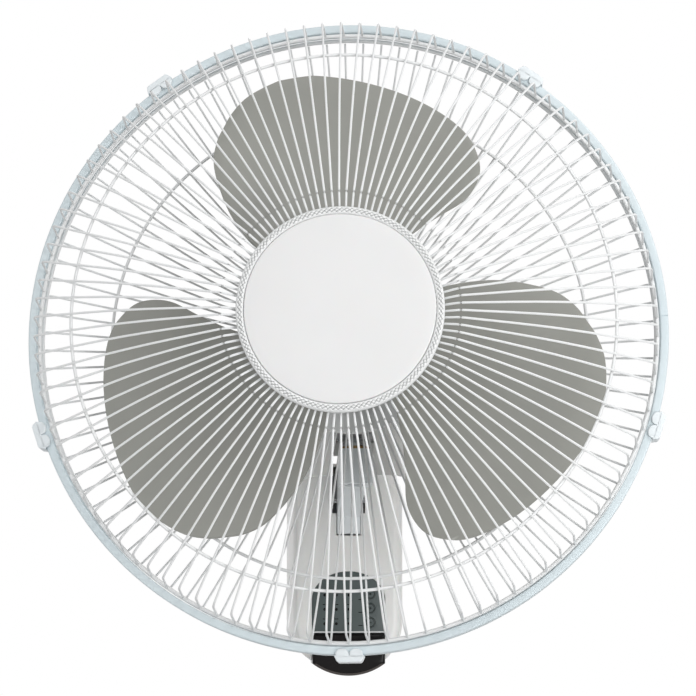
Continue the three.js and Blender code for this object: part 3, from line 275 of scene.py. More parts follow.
# The window's rim band: the same black glass painted lighter as a reflection on its rounded bottom edge.
LENS_RIM_HIGHLIGHT = Finish("painted_highlight_rim", (0.055, 0.045, 0.040), (0.075, 0.063, 0.057), 0.28, Grain.POLISHED)
DARK_PLASTIC = Finish("dark_plastic", (0.030, 0.031, 0.033), (0.040, 0.040, 0.042), 0.5, Grain.MOULDED)
PLATED_STEEL = Finish("plated_steel", (0.56, 0.57, 0.58), (0.48, 0.49, 0.50), 0.3, Grain.BRUSHED,
                      metallic=1.0, spread=0.1)
CAST_METAL = Finish("cast_metal", (0.46, 0.47, 0.48), (0.38, 0.39, 0.40), 0.5, Grain.CAST, metallic=1.0)
CORE_STEEL = Finish("core_steel", (0.32, 0.33, 0.35), (0.25, 0.25, 0.26), 0.45, Grain.STACKED, metallic=1.0)
COPPER = Finish("copper_winding", (0.62, 0.26, 0.13), (0.45, 0.17, 0.08), 0.32, Grain.WOUND, metallic=1.0)
BRONZE = Finish("bronze_bush", (0.50, 0.36, 0.18), (0.40, 0.29, 0.15), 0.4, Grain.CAST, metallic=1.0)
BOARD_GREEN = Finish("board_green", (0.02, 0.09, 0.035), (0.03, 0.13, 0.05), 0.35, Grain.ENAMEL, coat=0.3)


# ---------------------------------------------------------------- places
@dataclass(frozen=True)
class Places:
    """The frames of the sub-assemblies, worked out from the joints.

    Each takes millimetres to metres in the shared frame. The plane is how far the clamp ring's plane
    lies in front of the swing axis.
    """

    plane: float = 105.0

    def _joint(self, name: str) -> tuple[Vector, Vector]:
        """A joint's point and axis.

        Args:
            name: The joint's name.

        Returns:
            The point in metres and the unit axis.
        """
        joint = next(entry for entry in frame["record"]["behaviour"]["joints"] if entry["name"] == name)
        return Vector(joint["pos_m"]), Vector(joint["axis"]).normalized()

    def _basis(self, origin: Vector, back: Vector, up: Vector) -> Matrix:
        """A frame whose local Y is back and whose local Z is up.

        Args:
            origin: Where the frame's origin lies.
            back: The local Y direction.
            up: The local Z direction.

        Returns:
            The matrix from millimetres in the frame to metres in the shared frame.
        """
        axis_z = up.normalized()
        axis_x = back.cross(axis_z).normalized()
        axis_y = axis_z.cross(axis_x)
        turn = Matrix((axis_x, axis_y, axis_z)).transposed().to_4x4()
        return Matrix.Translation(origin) @ turn @ Matrix.Scale(MM, 4)

    @cached_property
    def base(self) -> Matrix:
        """The wall body's frame."""
        return Matrix.Scale(MM, 4)

    @cached_property
    def head(self) -> Matrix:
        """The motor head's frame, where the motor axis meets the swing axis."""
        centre, forward = self._joint("spin")
        return self._basis(centre - forward * self.plane * MM, -forward, self._joint("swing")[1])

    def around(self, clockwise: float) -> Matrix:
        """The head's frame turned about the motor axis.

        Args:
            clockwise: Degrees from the top, seen from the front.

        Returns:
            The turned frame.
        """
        return self.head @ Matrix.Rotation(math.radians(clockwise), 4, "Y")


PLACES = Places()


# ---------------------------------------------------------------- outlines
def filleted(points: Sequence[Point], radius: float | Sequence[float], steps: int = 5,
             closed: bool = True) -> list[Point]:
    """Rounds the corners of an outline.

    Args:
        points: The outline's corners.
        radius: One radius, or one for each corner.
        steps: Straight pieces in each arc.
        closed: Whether the last corner joins the first.

    Returns:
        The corners with arcs in their place.
    """
    count = len(points)
    radii = [radius] * count if isinstance(radius, (int, float)) else list(radius)
    rounded: list[Point] = []
    for i, point in enumerate(points):
        corner = Vector(point)
        before, after = Vector(points[i - 1]) - corner, Vector(points[(i + 1) % count]) - corner
        end = not closed and i in (0, count - 1)
        if end or radii[i] <= 0 or before.length * after.length == 0:
            rounded.append(tuple(corner))
            continue
        angle = before.angle(after)
        if angle > math.radians(178) or angle < math.radians(2):
            rounded.append(tuple(corner))
            continue
        reach = min(radii[i] / math.tan(angle / 2), 0.48 * before.length, 0.48 * after.length)
        size = reach * math.tan(angle / 2)
        centre = corner + (before.normalized() + after.normalized()).normalized() * size / math.sin(angle / 2)
        start = corner + before.normalized() * reach - centre
        finish = corner + after.normalized() * reach - centre
        sweep = start.angle_signed(finish)
        for step in range(steps + 1):
            turn = Matrix.Rotation(-sweep * step / steps, 2)
            rounded.append(tuple(centre + turn @ start))
    return rounded


def arc(centre: Point, across: float, high: float, start: float, end: float, steps: int) -> list[Point]:
    """Points on an ellipse.

    Args:
        centre: The ellipse's centre.
        across: Its half width.
        high: Its half height.
        start: The first angle in degrees.
        end: The last angle in degrees.
        steps: Straight pieces in the arc.

    Returns:
        The points from the first angle to the last.
    """
    angles = [math.radians(start + (end - start) * i / steps) for i in range(steps + 1)]
    return [(centre[0] + across * math.cos(a), centre[1] + high * math.sin(a)) for a in angles]


def rectangle(left: float, right: float, low: float, high: float, radius: float = 0.0,
              steps: int = 5) -> list[Point]:
    """A rectangle with round corners, counter-clockwise."""
    return filleted([(right, low), (right, high), (left, high), (left, low)], radius, steps)


def on_outline(outline: Sequence[Point], radius: float) -> Point:
    """Where an open outline passes a radius.

    Args:
        outline: Points of growing radius.
        radius: The radius to look at.

    Returns:
        The height there, and the slope of the outline.
    """
    for (near, low), (far, high) in zip(outline, outline[1:]):
        if near <= radius <= far:
            slope = (high - low) / (far - near)
            return low + slope * (radius - near), slope
    return outline[-1][1], 0.0


# ---------------------------------------------------------------- solids
def lathe(profile: Sequence[Point], steps: int = 96) -> Mesh:
    """Turns a closed profile about the Y axis.

    Args:
        profile: [radius, y] corners, closed on themselves.
        steps: Facets round the axis.

    Returns:
        The closed solid.
    """
    solid = bmesh.new()
    corners = [solid.verts.new((0.0, y, radius)) for radius, y in profile]
    edges = [solid.edges.new((corners[i - 1], corner)) for i, corner in enumerate(corners)]
    bmesh.ops.spin(
        solid, geom=corners + edges, cent=(0, 0, 0), axis=(0, 1, 0), dvec=(0, 0, 0), angle=TURN,
        space=Matrix.Identity(4), steps=steps, use_merge=True)
    bmesh.ops.remove_doubles(solid, verts=solid.verts, dist=1e-4)
    bmesh.ops.dissolve_degenerate(solid, dist=1e-5, edges=solid.edges)
    bmesh.ops.recalc_face_normals(solid, faces=solid.faces)
    return solid


def prism(outline: Sequence[Point], back: float, front: float, edge: float = 0.0, segments: int = 4,
          both: bool = False) -> Mesh:
    """Draws an outline in the X-Z plane out along Y.

    Args:
        outline: [x, z] corners.
        back: Where it starts.
        front: Where it ends, nearer the viewer.
        edge: Radius of the rounded front edge.
        segments: Steps in that rounding.
        both: Whether the back edge is rounded as well.

    Returns:
        The closed solid.
    """
    solid = bmesh.new()
    face = solid.faces.new([solid.verts.new((x, back, z)) for x, z in outline])
    grown = bmesh.ops.extrude_face_region(solid, geom=[face])["geom"]
    lifted = [item for item in grown if isinstance(item, bmesh.types.BMVert)]
    bmesh.ops.translate(solid, vec=(0, front - back, 0), verts=lifted)
    bmesh.ops.recalc_face_normals(solid, faces=solid.faces)
    if edge > 0:
        ends = [front, back] if both else [front]
        rim = [e for e in solid.edges if any(all(abs(v.co.y - y) < 1e-6 for v in e.verts) for y in ends)]
        round_edges(solid, rim, edge, segments)
    return solid


def round_edges(solid: Mesh, edges: Sequence[bmesh.types.BMEdge], width: float, segments: int) -> None:
    """Rounds edges of a solid in place."""
    bmesh.ops.bevel(
        solid, geom=list(edges), offset=width, offset_type="OFFSET", segments=segments, profile=0.5,
        affect="EDGES", material=-1, clamp_overlap=True)


def sharp_edges(solid: Mesh, least: float = 35.0) -> list[bmesh.types.BMEdge]:
    """The edges that turn by more than an angle in degrees."""
    limit = math.radians(least)
    return [e for e in solid.edges if len(e.link_faces) == 2 and e.calc_face_angle(0.0) > limit]


def block(low: Sequence[float], high: Sequence[float], edge: float = 0.0, segments: int = 2) -> Mesh:
    """A box between two corners with rounded edges.

    Args:
        low: The corner with the least coordinates.
        high: The opposite corner.
        edge: Radius of the edges.
        segments: Steps in the rounding.

    Returns:
        The closed solid.
    """
    solid = bmesh.new()
    bmesh.ops.create_cube(solid, size=1.0)
    bmesh.ops.scale(solid, vec=[b - a for a, b in zip(low, high)], verts=solid.verts)
    bmesh.ops.translate(solid, vec=[(a + b) / 2 for a, b in zip(low, high)], verts=solid.verts)
    if edge > 0:
        round_edges(solid, solid.edges, edge, segments)
    return solid


def moved(solid: Mesh, matrix: Matrix) -> Mesh:
    """The same solid after a transform."""
    bmesh.ops.transform(solid, matrix=matrix, verts=solid.verts)
    return solid


def merged(solids: Iterable[Mesh]) -> Mesh:
    """Several solids in one mesh, side by side.

    Args:
        solids: The solids, which are freed.

    Returns:
        The mesh that holds them all.
    """
    whole = bmesh.new()
    for solid in solids:
        spare = bpy.data.meshes.new("part")
        solid.to_mesh(spare)
        solid.free()
        whole.from_mesh(spare)
        bpy.data.meshes.remove(spare)
    return whole


def sweep(path: Sequence[Vector], radius: float, sides: int) -> Mesh:
    """A round wire along a path.

    Args:
        path: The centre line.
        radius: The wire's radius.
        sides: Facets round the wire.

    Returns:
        The closed wire.
    """
    wire = bmesh.new()
    ring = bmesh.ops.create_circle(wire, cap_ends=False, segments=sides, radius=radius)["verts"]
    place = Matrix.Identity(4)
    rings = [ring]
    for i, point in enumerate(path):
        before, after = path[max(i - 1, 0)], path[min(i + 1, len(path) - 1)]
        turn = (after - before).to_track_quat("Z", "Y").to_matrix().to_4x4()
        target = Matrix.Translation(point) @ turn
        if i > 0:
            edges = {e for v in rings[-1] for e in v.link_edges if all(w in rings[-1] for w in e.verts)}
            grown = bmesh.ops.extrude_edge_only(wire, edges=list(edges))["geom"]
            rings.append([item for item in grown if isinstance(item, bmesh.types.BMVert)])
        bmesh.ops.transform(wire, matrix=target @ place.inverted(), verts=rings[-1])
        place = target
    bmesh.ops.holes_fill(wire, edges=[e for e in wire.edges if e.is_boundary], sides=0)
    bmesh.ops.recalc_face_normals(wire, faces=wire.faces)
    return wire


class Cut(Enum):
    """How a boolean treats its tools."""

    AWAY = "DIFFERENCE"
    JOIN = "UNION"
    KEEP = "INTERSECT"


def carved(solid: Mesh, tools: Iterable[Mesh], kind: Cut = Cut.AWAY) -> Mesh:
    """Joins or cuts solids.

    Args:
        solid: The solid to work on.
        tools: The solids that join or cut it.
        kind: What the tools do.

    Returns:
        The resulting solid.
    """
    scene = bpy.context.scene
    spare: list[Piece] = []
    for part in [solid, *tools]:
        bmesh.ops.recalc_face_normals(part, faces=part.faces)
        mesh = bpy.data.meshes.new("part")
        part.to_mesh(mesh)
        part.free()
        spare.append(bpy.data.objects.new("part", mesh))
        scene.collection.objects.link(spare[-1])
    for tool in spare[1:]:
        step = spare[0].modifiers.new("carve", "BOOLEAN")
        step.operation = kind.value
        step.solver = "EXACT"
        step.object = tool
    graph = bpy.context.evaluated_depsgraph_get()
    result = bmesh.new()
    result.from_mesh(spare[0].evaluated_get(graph).to_mesh())
    for item in spare:
        mesh = item.data
        bpy.data.objects.remove(item)
        bpy.data.meshes.remove(mesh)
    bmesh.ops.remove_doubles(result, verts=result.verts, dist=1e-3)
    bmesh.ops.dissolve_degenerate(result, dist=1e-3, edges=result.edges)
    return result


def softened(node: str, width: float, segments: int = 3) -> Mesh:
    """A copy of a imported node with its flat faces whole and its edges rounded.

    Args:
        node: The node's name.
        width: The rounding in millimetres.
        segments: Steps in the rounding.

    Returns:
        The copy, in millimetres in the shared frame.
    """
    copy = bmesh.new()
    copy.from_mesh(frame["nodes"][node].data)
    bmesh.ops.scale(copy, vec=(1 / MM, 1 / MM, 1 / MM), verts=copy.verts)
    bmesh.ops.remove_doubles(copy, verts=copy.verts, dist=1e-3)
    bmesh.ops.dissolve_limit(copy, angle_limit=math.radians(1.5), verts=copy.verts, edges=copy.edges)
    round_edges(copy, sharp_edges(copy), width, segments)
    return copy


# ---------------------------------------------------------------- workshop
@dataclass
class Workshop:
    """Turns solids into finished pieces of the scene."""

    sharp: float = 38.0

    def add(self, name: str, solid: Mesh, place: Matrix, body: str, finish: Finish, slot: str,
            replaces: Sequence[str] = ()) -> None:
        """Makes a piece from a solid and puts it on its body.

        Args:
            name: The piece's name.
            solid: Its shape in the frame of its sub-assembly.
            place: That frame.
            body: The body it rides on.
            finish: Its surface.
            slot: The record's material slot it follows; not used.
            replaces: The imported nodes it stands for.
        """
        bmesh.ops.transform(solid, matrix=place, verts=solid.verts)
        limit = math.radians(self.sharp)
        for face in solid.faces:
            face.smooth = True
        for edge in solid.edges:
            edge.smooth = len(edge.link_faces) == 2 and edge.calc_face_angle(0.0) < limit
        mesh = bpy.data.meshes.new(name)
        solid.to_mesh(mesh)
        solid.free()
        mesh.materials.append(finish.material)
        piece = bpy.data.objects.new(name, mesh)
        bpy.context.scene.collection.objects.link(piece)
        if replaces:
            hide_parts(*replaces)
        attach(piece, body)
        log.info("%s rides on %s with %d faces", name, body, len(mesh.polygons))

    def dress(self, finish: Finish, *names: str) -> None:
        """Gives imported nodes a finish.

        Args:
            finish: The surface.
            names: The nodes.
        """
        for name in names:
            node = frame["nodes"][name]
            node.data.materials.clear()
            node.data.materials.append(finish.material)
            log.info("%s dressed as %s", name, finish.name)


SHOP = Workshop()


# ---------------------------------------------------------------- guard
@dataclass(frozen=True)
class WireGuard:
    """The two wire halves of the guard with their hub plates, ring wires and rims."""

    wires: int = 102
    wire: float = 0.82
    ring: float = 1.1
    rim: float = 1.5
    rim_radius: float = 217.1
    sides: int = 6
    front: tuple[Point, ...] = ((60, 81), (80, 91), (148, 79), (213.6, 49), (217.1, 7.3))
    front_bends: tuple[float, ...] = (0, 10, 260, 9, 0)
    rear: tuple[Point, ...] = ((57, -62), (112, -49.5), (170, -25.5), (215.2, -6.5))
    rear_bends: tuple[float, ...] = (0, 160, 300, 0)
    front_ring: float = 186.0
    rear_ring: float = 170.0
    front_rim_forward: float = 5.4
    rear_rim_forward: float = -6.5
    front_hub: tuple[Point, ...] = ((50, 79.5), (64, 79.5), (64, 85), (50, 85))
    rear_hub: tuple[Point, ...] = ((20.3, -62.7), (61, -62.7), (61, -59.5), (20.3, -59.5))
    hub_edge: float = 0.8

    def _in_head(self, profile: Sequence[Point]) -> list[Point]:
        """The same profile in the head's Y, from distances in front of the clamp plane."""
        return [(radius, -PLACES.plane - forward) for radius, forward in profile]

    def _wires(self, outline: Sequence[Point], bends: Sequence[float]) -> Mesh:
        """All the wires of one half.

        Args:
            outline: [radius, forward] corners from the hub to the rim.
            bends: The bend radius at each corner.

        Returns:
            The wires, one closed solid each.
        """
        line = filleted(outline, bends, 4, closed=False)
        path = [Vector((0, -PLACES.plane - forward, radius)) for radius, forward in line]
        wires = sweep(path, self.wire, self.sides)
        geometry = wires.verts[:] + wires.edges[:] + wires.faces[:]
        bmesh.ops.spin(
            wires, geom=geometry, cent=(0, 0, 0), axis=(0, 1, 0), dvec=(0, 0, 0),
            angle=TURN * (self.wires - 1) / self.wires, space=Matrix.Identity(4), steps=self.wires - 1,
            use_duplicate=True, use_merge=False)
        bmesh.ops.recalc_face_normals(wires, faces=wires.faces)
        return wires

    def _ring(self, radius: float, forward: float, wire: float, steps: int = 180) -> Mesh:
        """A round wire bent to a ring about the motor axis."""
        return lathe(arc((radius, -PLACES.plane - forward), wire, wire, 0, 360, 10)[:-1], steps)

    def build(self) -> None:
        """Makes both halves with their rings."""
        slot = "white_wire"
        hub_front = lathe(filleted(self._in_head(self.front_hub), self.hub_edge, 3), self.wires * 2)
        hub_rear = lathe(filleted(self._in_head(self.rear_hub), self.hub_edge, 3), self.wires * 2)
        SHOP.add("front_guard", merged([self._wires(self.front, self.front_bends), hub_front]), PLACES.head,
                 "head", WHITE_ENAMEL, slot, ["front_grille"])
        SHOP.add("rear_guard", merged([self._wires(self.rear, self.rear_bends), hub_rear]), PLACES.head,
                 "head", WHITE_ENAMEL, slot, ["rear_grille"])
        front_place, front_slope = on_outline(self.front, self.front_ring)
        rear_place, rear_slope = on_outline(self.rear, self.rear_ring)
        seat = self.wire + self.ring
        rings = [
            ("front_ring_wire", self.front_ring, front_place - seat * math.hypot(1, front_slope), self.ring),
            ("rear_ring_wire", self.rear_ring, rear_place + seat * math.hypot(1, rear_slope), self.ring),
            ("front_rim_wire", self.rim_radius, self.front_rim_forward, self.rim),
            ("rear_rim_wire", self.rim_radius, self.rear_rim_forward, self.rim),
        ]
        for node, radius, forward, wire in rings:
            SHOP.add(f"round_{node}", self._ring(radius, forward, wire), PLACES.head, "head", WHITE_ENAMEL,
                     slot, [node])


@dataclass(frozen=True)
class ClampRing:
    """The split band round the two guard halves, with its seam."""

    outer: float = 225.0
    inner: float = 219.2
    band: float = 3.0
    front: float = 7.0
    back: float = -8.0
    flange: float = 2.5
    edge: float = 1.1
    seam_angle: float = 88.0
    seam: float = 0.5
    seam_depth: float = 0.6

    def _profile(self) -> list[Point]:
        """The band's channel section as [radius, y] corners.

        Returns:
            The corners.
        """
        wall = self.outer - self.band
        corners = [
            (self.inner, self.back), (self.outer, self.back), (self.outer, self.front),
            (self.inner, self.front), (self.inner, self.front - self.flange),
            (wall, self.front - self.flange),
            (wall, self.back + self.flange), (self.inner, self.back + self.flange),
        ]
        radii = [self.edge] * 4 + [self.edge / 2] * 4
        return [(radius, -PLACES.plane - forward) for radius, forward in filleted(corners, radii, 4)]

    def build(self) -> None:
        """Makes the band and cuts its seam."""
        ring = lathe(self._profile(), 240)
        reach = self.outer - self.seam_depth
        plane = -PLACES.plane
        outside = block((-self.seam / 2, plane - 2 * self.front, reach),
                        (self.seam / 2, plane - 2 * self.back, self.outer + self.band))
        face = block((-self.seam / 2, plane - 2 * self.front, self.inner - self.band),
                     (self.seam / 2, plane - self.front + self.seam_depth, self.outer + self.band))
        turn = Matrix.Rotation(math.radians(self.seam_angle), 4, "Y")
        ring = carved(ring, [moved(outside, turn), moved(face, turn)])
        SHOP.add("clamp_band", ring, PLACES.head, "head", PALE_BLUE, "cool_plastic", ["clamp_ring"])


@dataclass(frozen=True)
class Latches:
    """The hinged clips over the clamp band: a curved plate with two round lobes over the band's face."""

    count: int = 5
    first: float = 36.0
    length: float = 21.0
    seat: float = 225.3
    height: float = 4.7
    back: float = -8.0
    front: float = 7.3
    lip: float = 2.2
    lobe: float = 4.6
    lobe_pitch: float = 9.6
    lobe_depth: float = 3.4
    lobe_flatness: float = 1.3
    lap: float = 1.5
    taper: float = 2.2
    foot_edge: float = 0.4
    edge: float = 0.6

    def _clip(self) -> Mesh:
        """One clip at the top of the ring.

        Returns:
            The plate with its two lobes.
        """
        plane = -PLACES.plane
        half = self.length / 2
        top = self.seat + self.height
        plate_outline = filleted(
            [(half, self.seat), (half - self.taper, top), (-half + self.taper, top), (-half, self.seat)],
            (self.foot_edge, self.taper, self.taper, self.foot_edge), 4)
        plate = prism(plate_outline, plane - self.back, plane - self.front - self.lip, self.edge, 3,
                      both=True)
        lobes = []
        for side in (-1, 1):
            middle = side * self.lobe_pitch / 2
            low = self.seat - self.lobe_depth
            lobe = arc((middle, low + self.lobe / 2), self.lobe, self.lobe / self.lobe_flatness, 180, 360, 10)
            high = self.seat + self.lap
            outline = [(middle + self.lobe, high), (middle - self.lobe, high), *lobe]
            lobes.append(prism(outline, plane - self.front, plane - self.front - self.lip, self.edge, 3))
        return merged([plate, *lobes])

    def build(self) -> None:
        """Makes each clip on its own hinge."""
        for i in range(self.count):
            place = PLACES.around(self.first + i * 360 / self.count)
            name = f"latch_{i + 1}"
            SHOP.add(f"clip_{name}", self._clip(), place, name, LATCH_PALE, "cool_plastic", [name])


@dataclass(frozen=True)
class CentreCap:
    """The disc at the middle of the guard and the knurled ring round it."""

    disc: float = 64.5
    ring_inner: float = 64.8
    ring_outer: float = 70.0
    back: float = 87.6
    ring_front: float = 92.6
    front: float = 94.0
    skirt: float = 54.0
    skirt_wall: float = 3.0
    skirt_back: float = 85.3
    knurls: int = 124
    knurl_rows: float = 2.0
    knurl_height: float = 1.15
    crown: tuple[Point, ...] = ((0, 0), (25, 0.05), (45, 0.22), (58, 0.5))
    edge_drop: float = 0.95
    edge: float = 0.9
    floor: float = 2.5
    face_rows: int = 18
    face_bow: float = 0.7
    face_slope: float = 0.5
    knurl_reach: float = 2.4
    knurl_margin: float = 0.04

    def _disc(self) -> Mesh:
        """The disc with its shallow crown, rounded edge and locating skirt.

        Returns:
            The turned disc.
        """
        inner = self.skirt - self.skirt_wall
        crown = [(radius, self.front - drop) for radius, drop in self.crown]
        edge = filleted([crown[-1], (self.disc, self.front - self.edge_drop), (self.disc, self.back)],
                        (0, self.edge, 0), 5, closed=False)[1:]
        under = [(self.skirt, self.back), (self.skirt, self.skirt_back), (inner, self.skirt_back),
                 (inner, self.back + self.floor), (0, self.back + self.floor)]
        profile = [*crown, *edge, *under]
        return lathe([(radius, -PLACES.plane - forward) for radius, forward in profile], 160)

    def _ring(self) -> Mesh:
        """The ring with crossed ridges on its face.

        Returns:
            The ring.
        """
        width = self.ring_outer - self.ring_inner
        face = []
        for i in range(self.face_rows + 1):
            share = i / self.face_rows
            fall = self.face_bow * (2 * share - 1) ** 4
            face.append((self.ring_inner + share * width,
                         self.ring_front - fall - self.face_slope * share))
        profile = [*face, (self.ring_outer, self.back), (self.ring_inner, self.back)]
        ring = lathe([(radius, -PLACES.plane - forward) for radius, forward in profile], self.knurls * 8)
        for vert in ring.verts:
            radius = math.hypot(vert.co.x, vert.co.z)
            across = (radius - self.ring_inner) / width
            low = -PLACES.plane - vert.co.y < self.ring_front - self.knurl_reach
            if low or not self.knurl_margin < across < 1 - self.knurl_margin:
                continue
            phase = math.atan2(vert.co.x, vert.co.z) * self.knurls / 2
            lean = across * self.knurl_rows * math.pi
            ridge = math.sqrt(abs(math.sin(phase + lean) * math.sin(phase - lean)))
            vert.co.y -= self.knurl_height * ridge * math.sin(math.pi * across) ** 0.5
        return ring

    def build(self) -> None:
        """Makes the disc and the knurled ring."""
        SHOP.add("cap_disc", self._disc(), PLACES.head, "head", WHITE_CAP, "white_plastic", ["centre_cap"])
        SHOP.add("knurled_ring", self._ring(), PLACES.head, "head", KNURLED_WHITE, "white_plastic",
                 ["cap_ring"])


# ---------------------------------------------------------------- impeller
@dataclass(frozen=True)
class Impeller:
    """Three broad dished blades on a hub, with the nut that holds them."""

    blades: int = 3
    plane: float = 13.0
    thickness: float = 2.3
    trailing: float = 27.0
    leading: float = -14.0
    dish: float = 6.0
    first_angle: float = -50.0
    angle_range: float = 91.5
    span_steps: int = 60
    chord_steps: int = 22
    rim: float = 0.9
    edges: tuple[tuple[float, float, float], ...] = (
        (43, -48, 24), (60, -50, 27.5), (84, -48.3, 33.3), (108, -45.5, 38.5), (128, -42, 41.5),
        (148, -38, 40), (160, -34, 35.6), (168, -30, 30), (174, -27, 20), (181, -22, 4), (186, -14.5, -7),
    )
    hub: float = 45.0
    hub_wall: float = 2.5
    hub_front: float = 34.0
    hub_back: float = -38.0
    shoulder: float = 7.0
    boss: float = 9.0
    boss_back: float = -20.0
    bore: float = 4.3
    crease: float = 50.0
    bore_edge: float = 0.4
    wall_edge: float = 0.8
    boss_root: float = 2.0
    boss_edge: float = 0.6

    def _row(self, share: float) -> Vector:
        """The blade's edges at a share of its span, on a smooth curve through the measured rows.

        Args:
            share: 0 at the hub and 1 at the tip.

        Returns:
            The radius, the trailing angle and the leading angle.
        """
        place = share * (len(self.edges) - 1)
        index = min(int(place), len(self.edges) - 2)
        local = place - index
        last = len(self.edges) - 1
        rows = [Vector(self.edges[min(max(index + step, 0), last)]) for step in (-1, 0, 1, 2)]
        before, start, end, after = rows
        square = 2 * before - 5 * start + 4 * end - after
        cube = 3 * start - before - 3 * end + after
        return 0.5 * (2 * start + (end - before) * local + square * local ** 2 + cube * local ** 3)

    def _blade(self, angle: float) -> Mesh:
        """One blade with rounded edges.

        Args:
            angle: The blade's turn about the motor axis, in radians.

        Returns:
            The blade.
        """
        blade = bmesh.new()
        bmesh.ops.create_grid(blade, x_segments=self.span_steps, y_segments=self.chord_steps, size=0.5)
        for vert in blade.verts:
            chord = vert.co.y + 0.5
            radius, trailing, leading = self._row(vert.co.x + 0.5)
            degrees = trailing + (leading - trailing) * chord
            turn = math.radians(degrees) + angle
            share = (degrees - self.first_angle) / self.angle_range
            dish = self.dish * math.sin(math.pi * share)
            forward = self.plane + self.trailing + (self.leading - self.trailing) * share - dish
            vert.co = (radius * math.sin(turn), -PLACES.plane - forward, radius * math.cos(turn))
        bmesh.ops.recalc_face_normals(blade, faces=blade.faces)
        bmesh.ops.solidify(blade, geom=blade.faces[:], thickness=self.thickness)
        bmesh.ops.recalc_face_normals(blade, faces=blade.faces)
        round_edges(blade, sharp_edges(blade, self.crease), self.rim, 3)
        return blade

    def _hub(self) -> Mesh:
        """The hub shell with its boss.

        Returns:
            The turned hub.
        """
        inner = self.hub - self.hub_wall
        inside = self.hub_front - self.hub_wall
        corners = [
            (self.bore, self.hub_front), (self.hub, self.hub_front), (self.hub, self.hub_back),
            (inner, self.hub_back), (inner, inside), (self.boss, inside), (self.boss, self.boss_back),
            (self.bore, self.boss_back),
        ]
        radii = [self.bore_edge, self.shoulder, self.wall_edge, self.wall_edge,
                 self.shoulder - self.boss_root, self.boss_root, self.boss_edge, self.bore_edge]
        return lathe([(r, -PLACES.plane - f) for r, f in filleted(corners, radii, 6)], 96)

    def build(self) -> None:
        """Makes the blades on their hub and the nut in front."""
        parts = [self._hub()] + [self._blade(i * TURN / self.blades) for i in range(self.blades)]
        SHOP.add("bladed_rotor", merged(parts), PLACES.head, "rotor", BLADE_GREY, "blade_grey", ["impeller"])
        SHOP.add("blade_nut", SpinnerNut().solid(), PLACES.head, "rotor", DARK_PLASTIC, "dark_plastic",
                 ["spinner_nut"])


@dataclass(frozen=True)
class SpinnerNut:
    """The blind nut in front of the hub, with grip ribs."""

    bore: float = 4.3
    radius: float = 15.0
    top: float = 9.0
    back: float = 34.3
    collar: float = 6.0
    length: float = 16.0
    grip: float = 11.8
    ribs: int = 14
    groove: float = 0.9
    groove_depth: float = 0.7
    groove_edge: float = 0.3

    def solid(self) -> Mesh:
        """The turned nut with finger ribs.

        Returns:
            The nut.
        """
        corners = [
            (0, self.back + self.length), (self.top, self.back + self.length),
            (self.radius, self.back + self.collar), (self.radius, self.back), (self.bore, self.back),
            (self.bore, self.back + self.grip), (0, self.back + self.grip),
        ]
        profile = filleted(corners, (0, 2.5, 1.5, 0.6, 0.3, 0.3, 0), 4)
        nut = lathe([(radius, -PLACES.plane - forward) for radius, forward in profile], 84)
        groove = rectangle(-self.groove, self.groove, self.radius - self.groove_depth, self.radius + 2,
                           self.groove_edge, 2)
        grooves = []
        for i in range(self.ribs):
            cutter = prism(groove, -PLACES.plane - self.back + 1,
                           -PLACES.plane - self.back - self.length - 1)
            grooves.append(moved(cutter, Matrix.Rotation(i * TURN / self.ribs, 4, "Y")))
        return carved(nut, grooves)


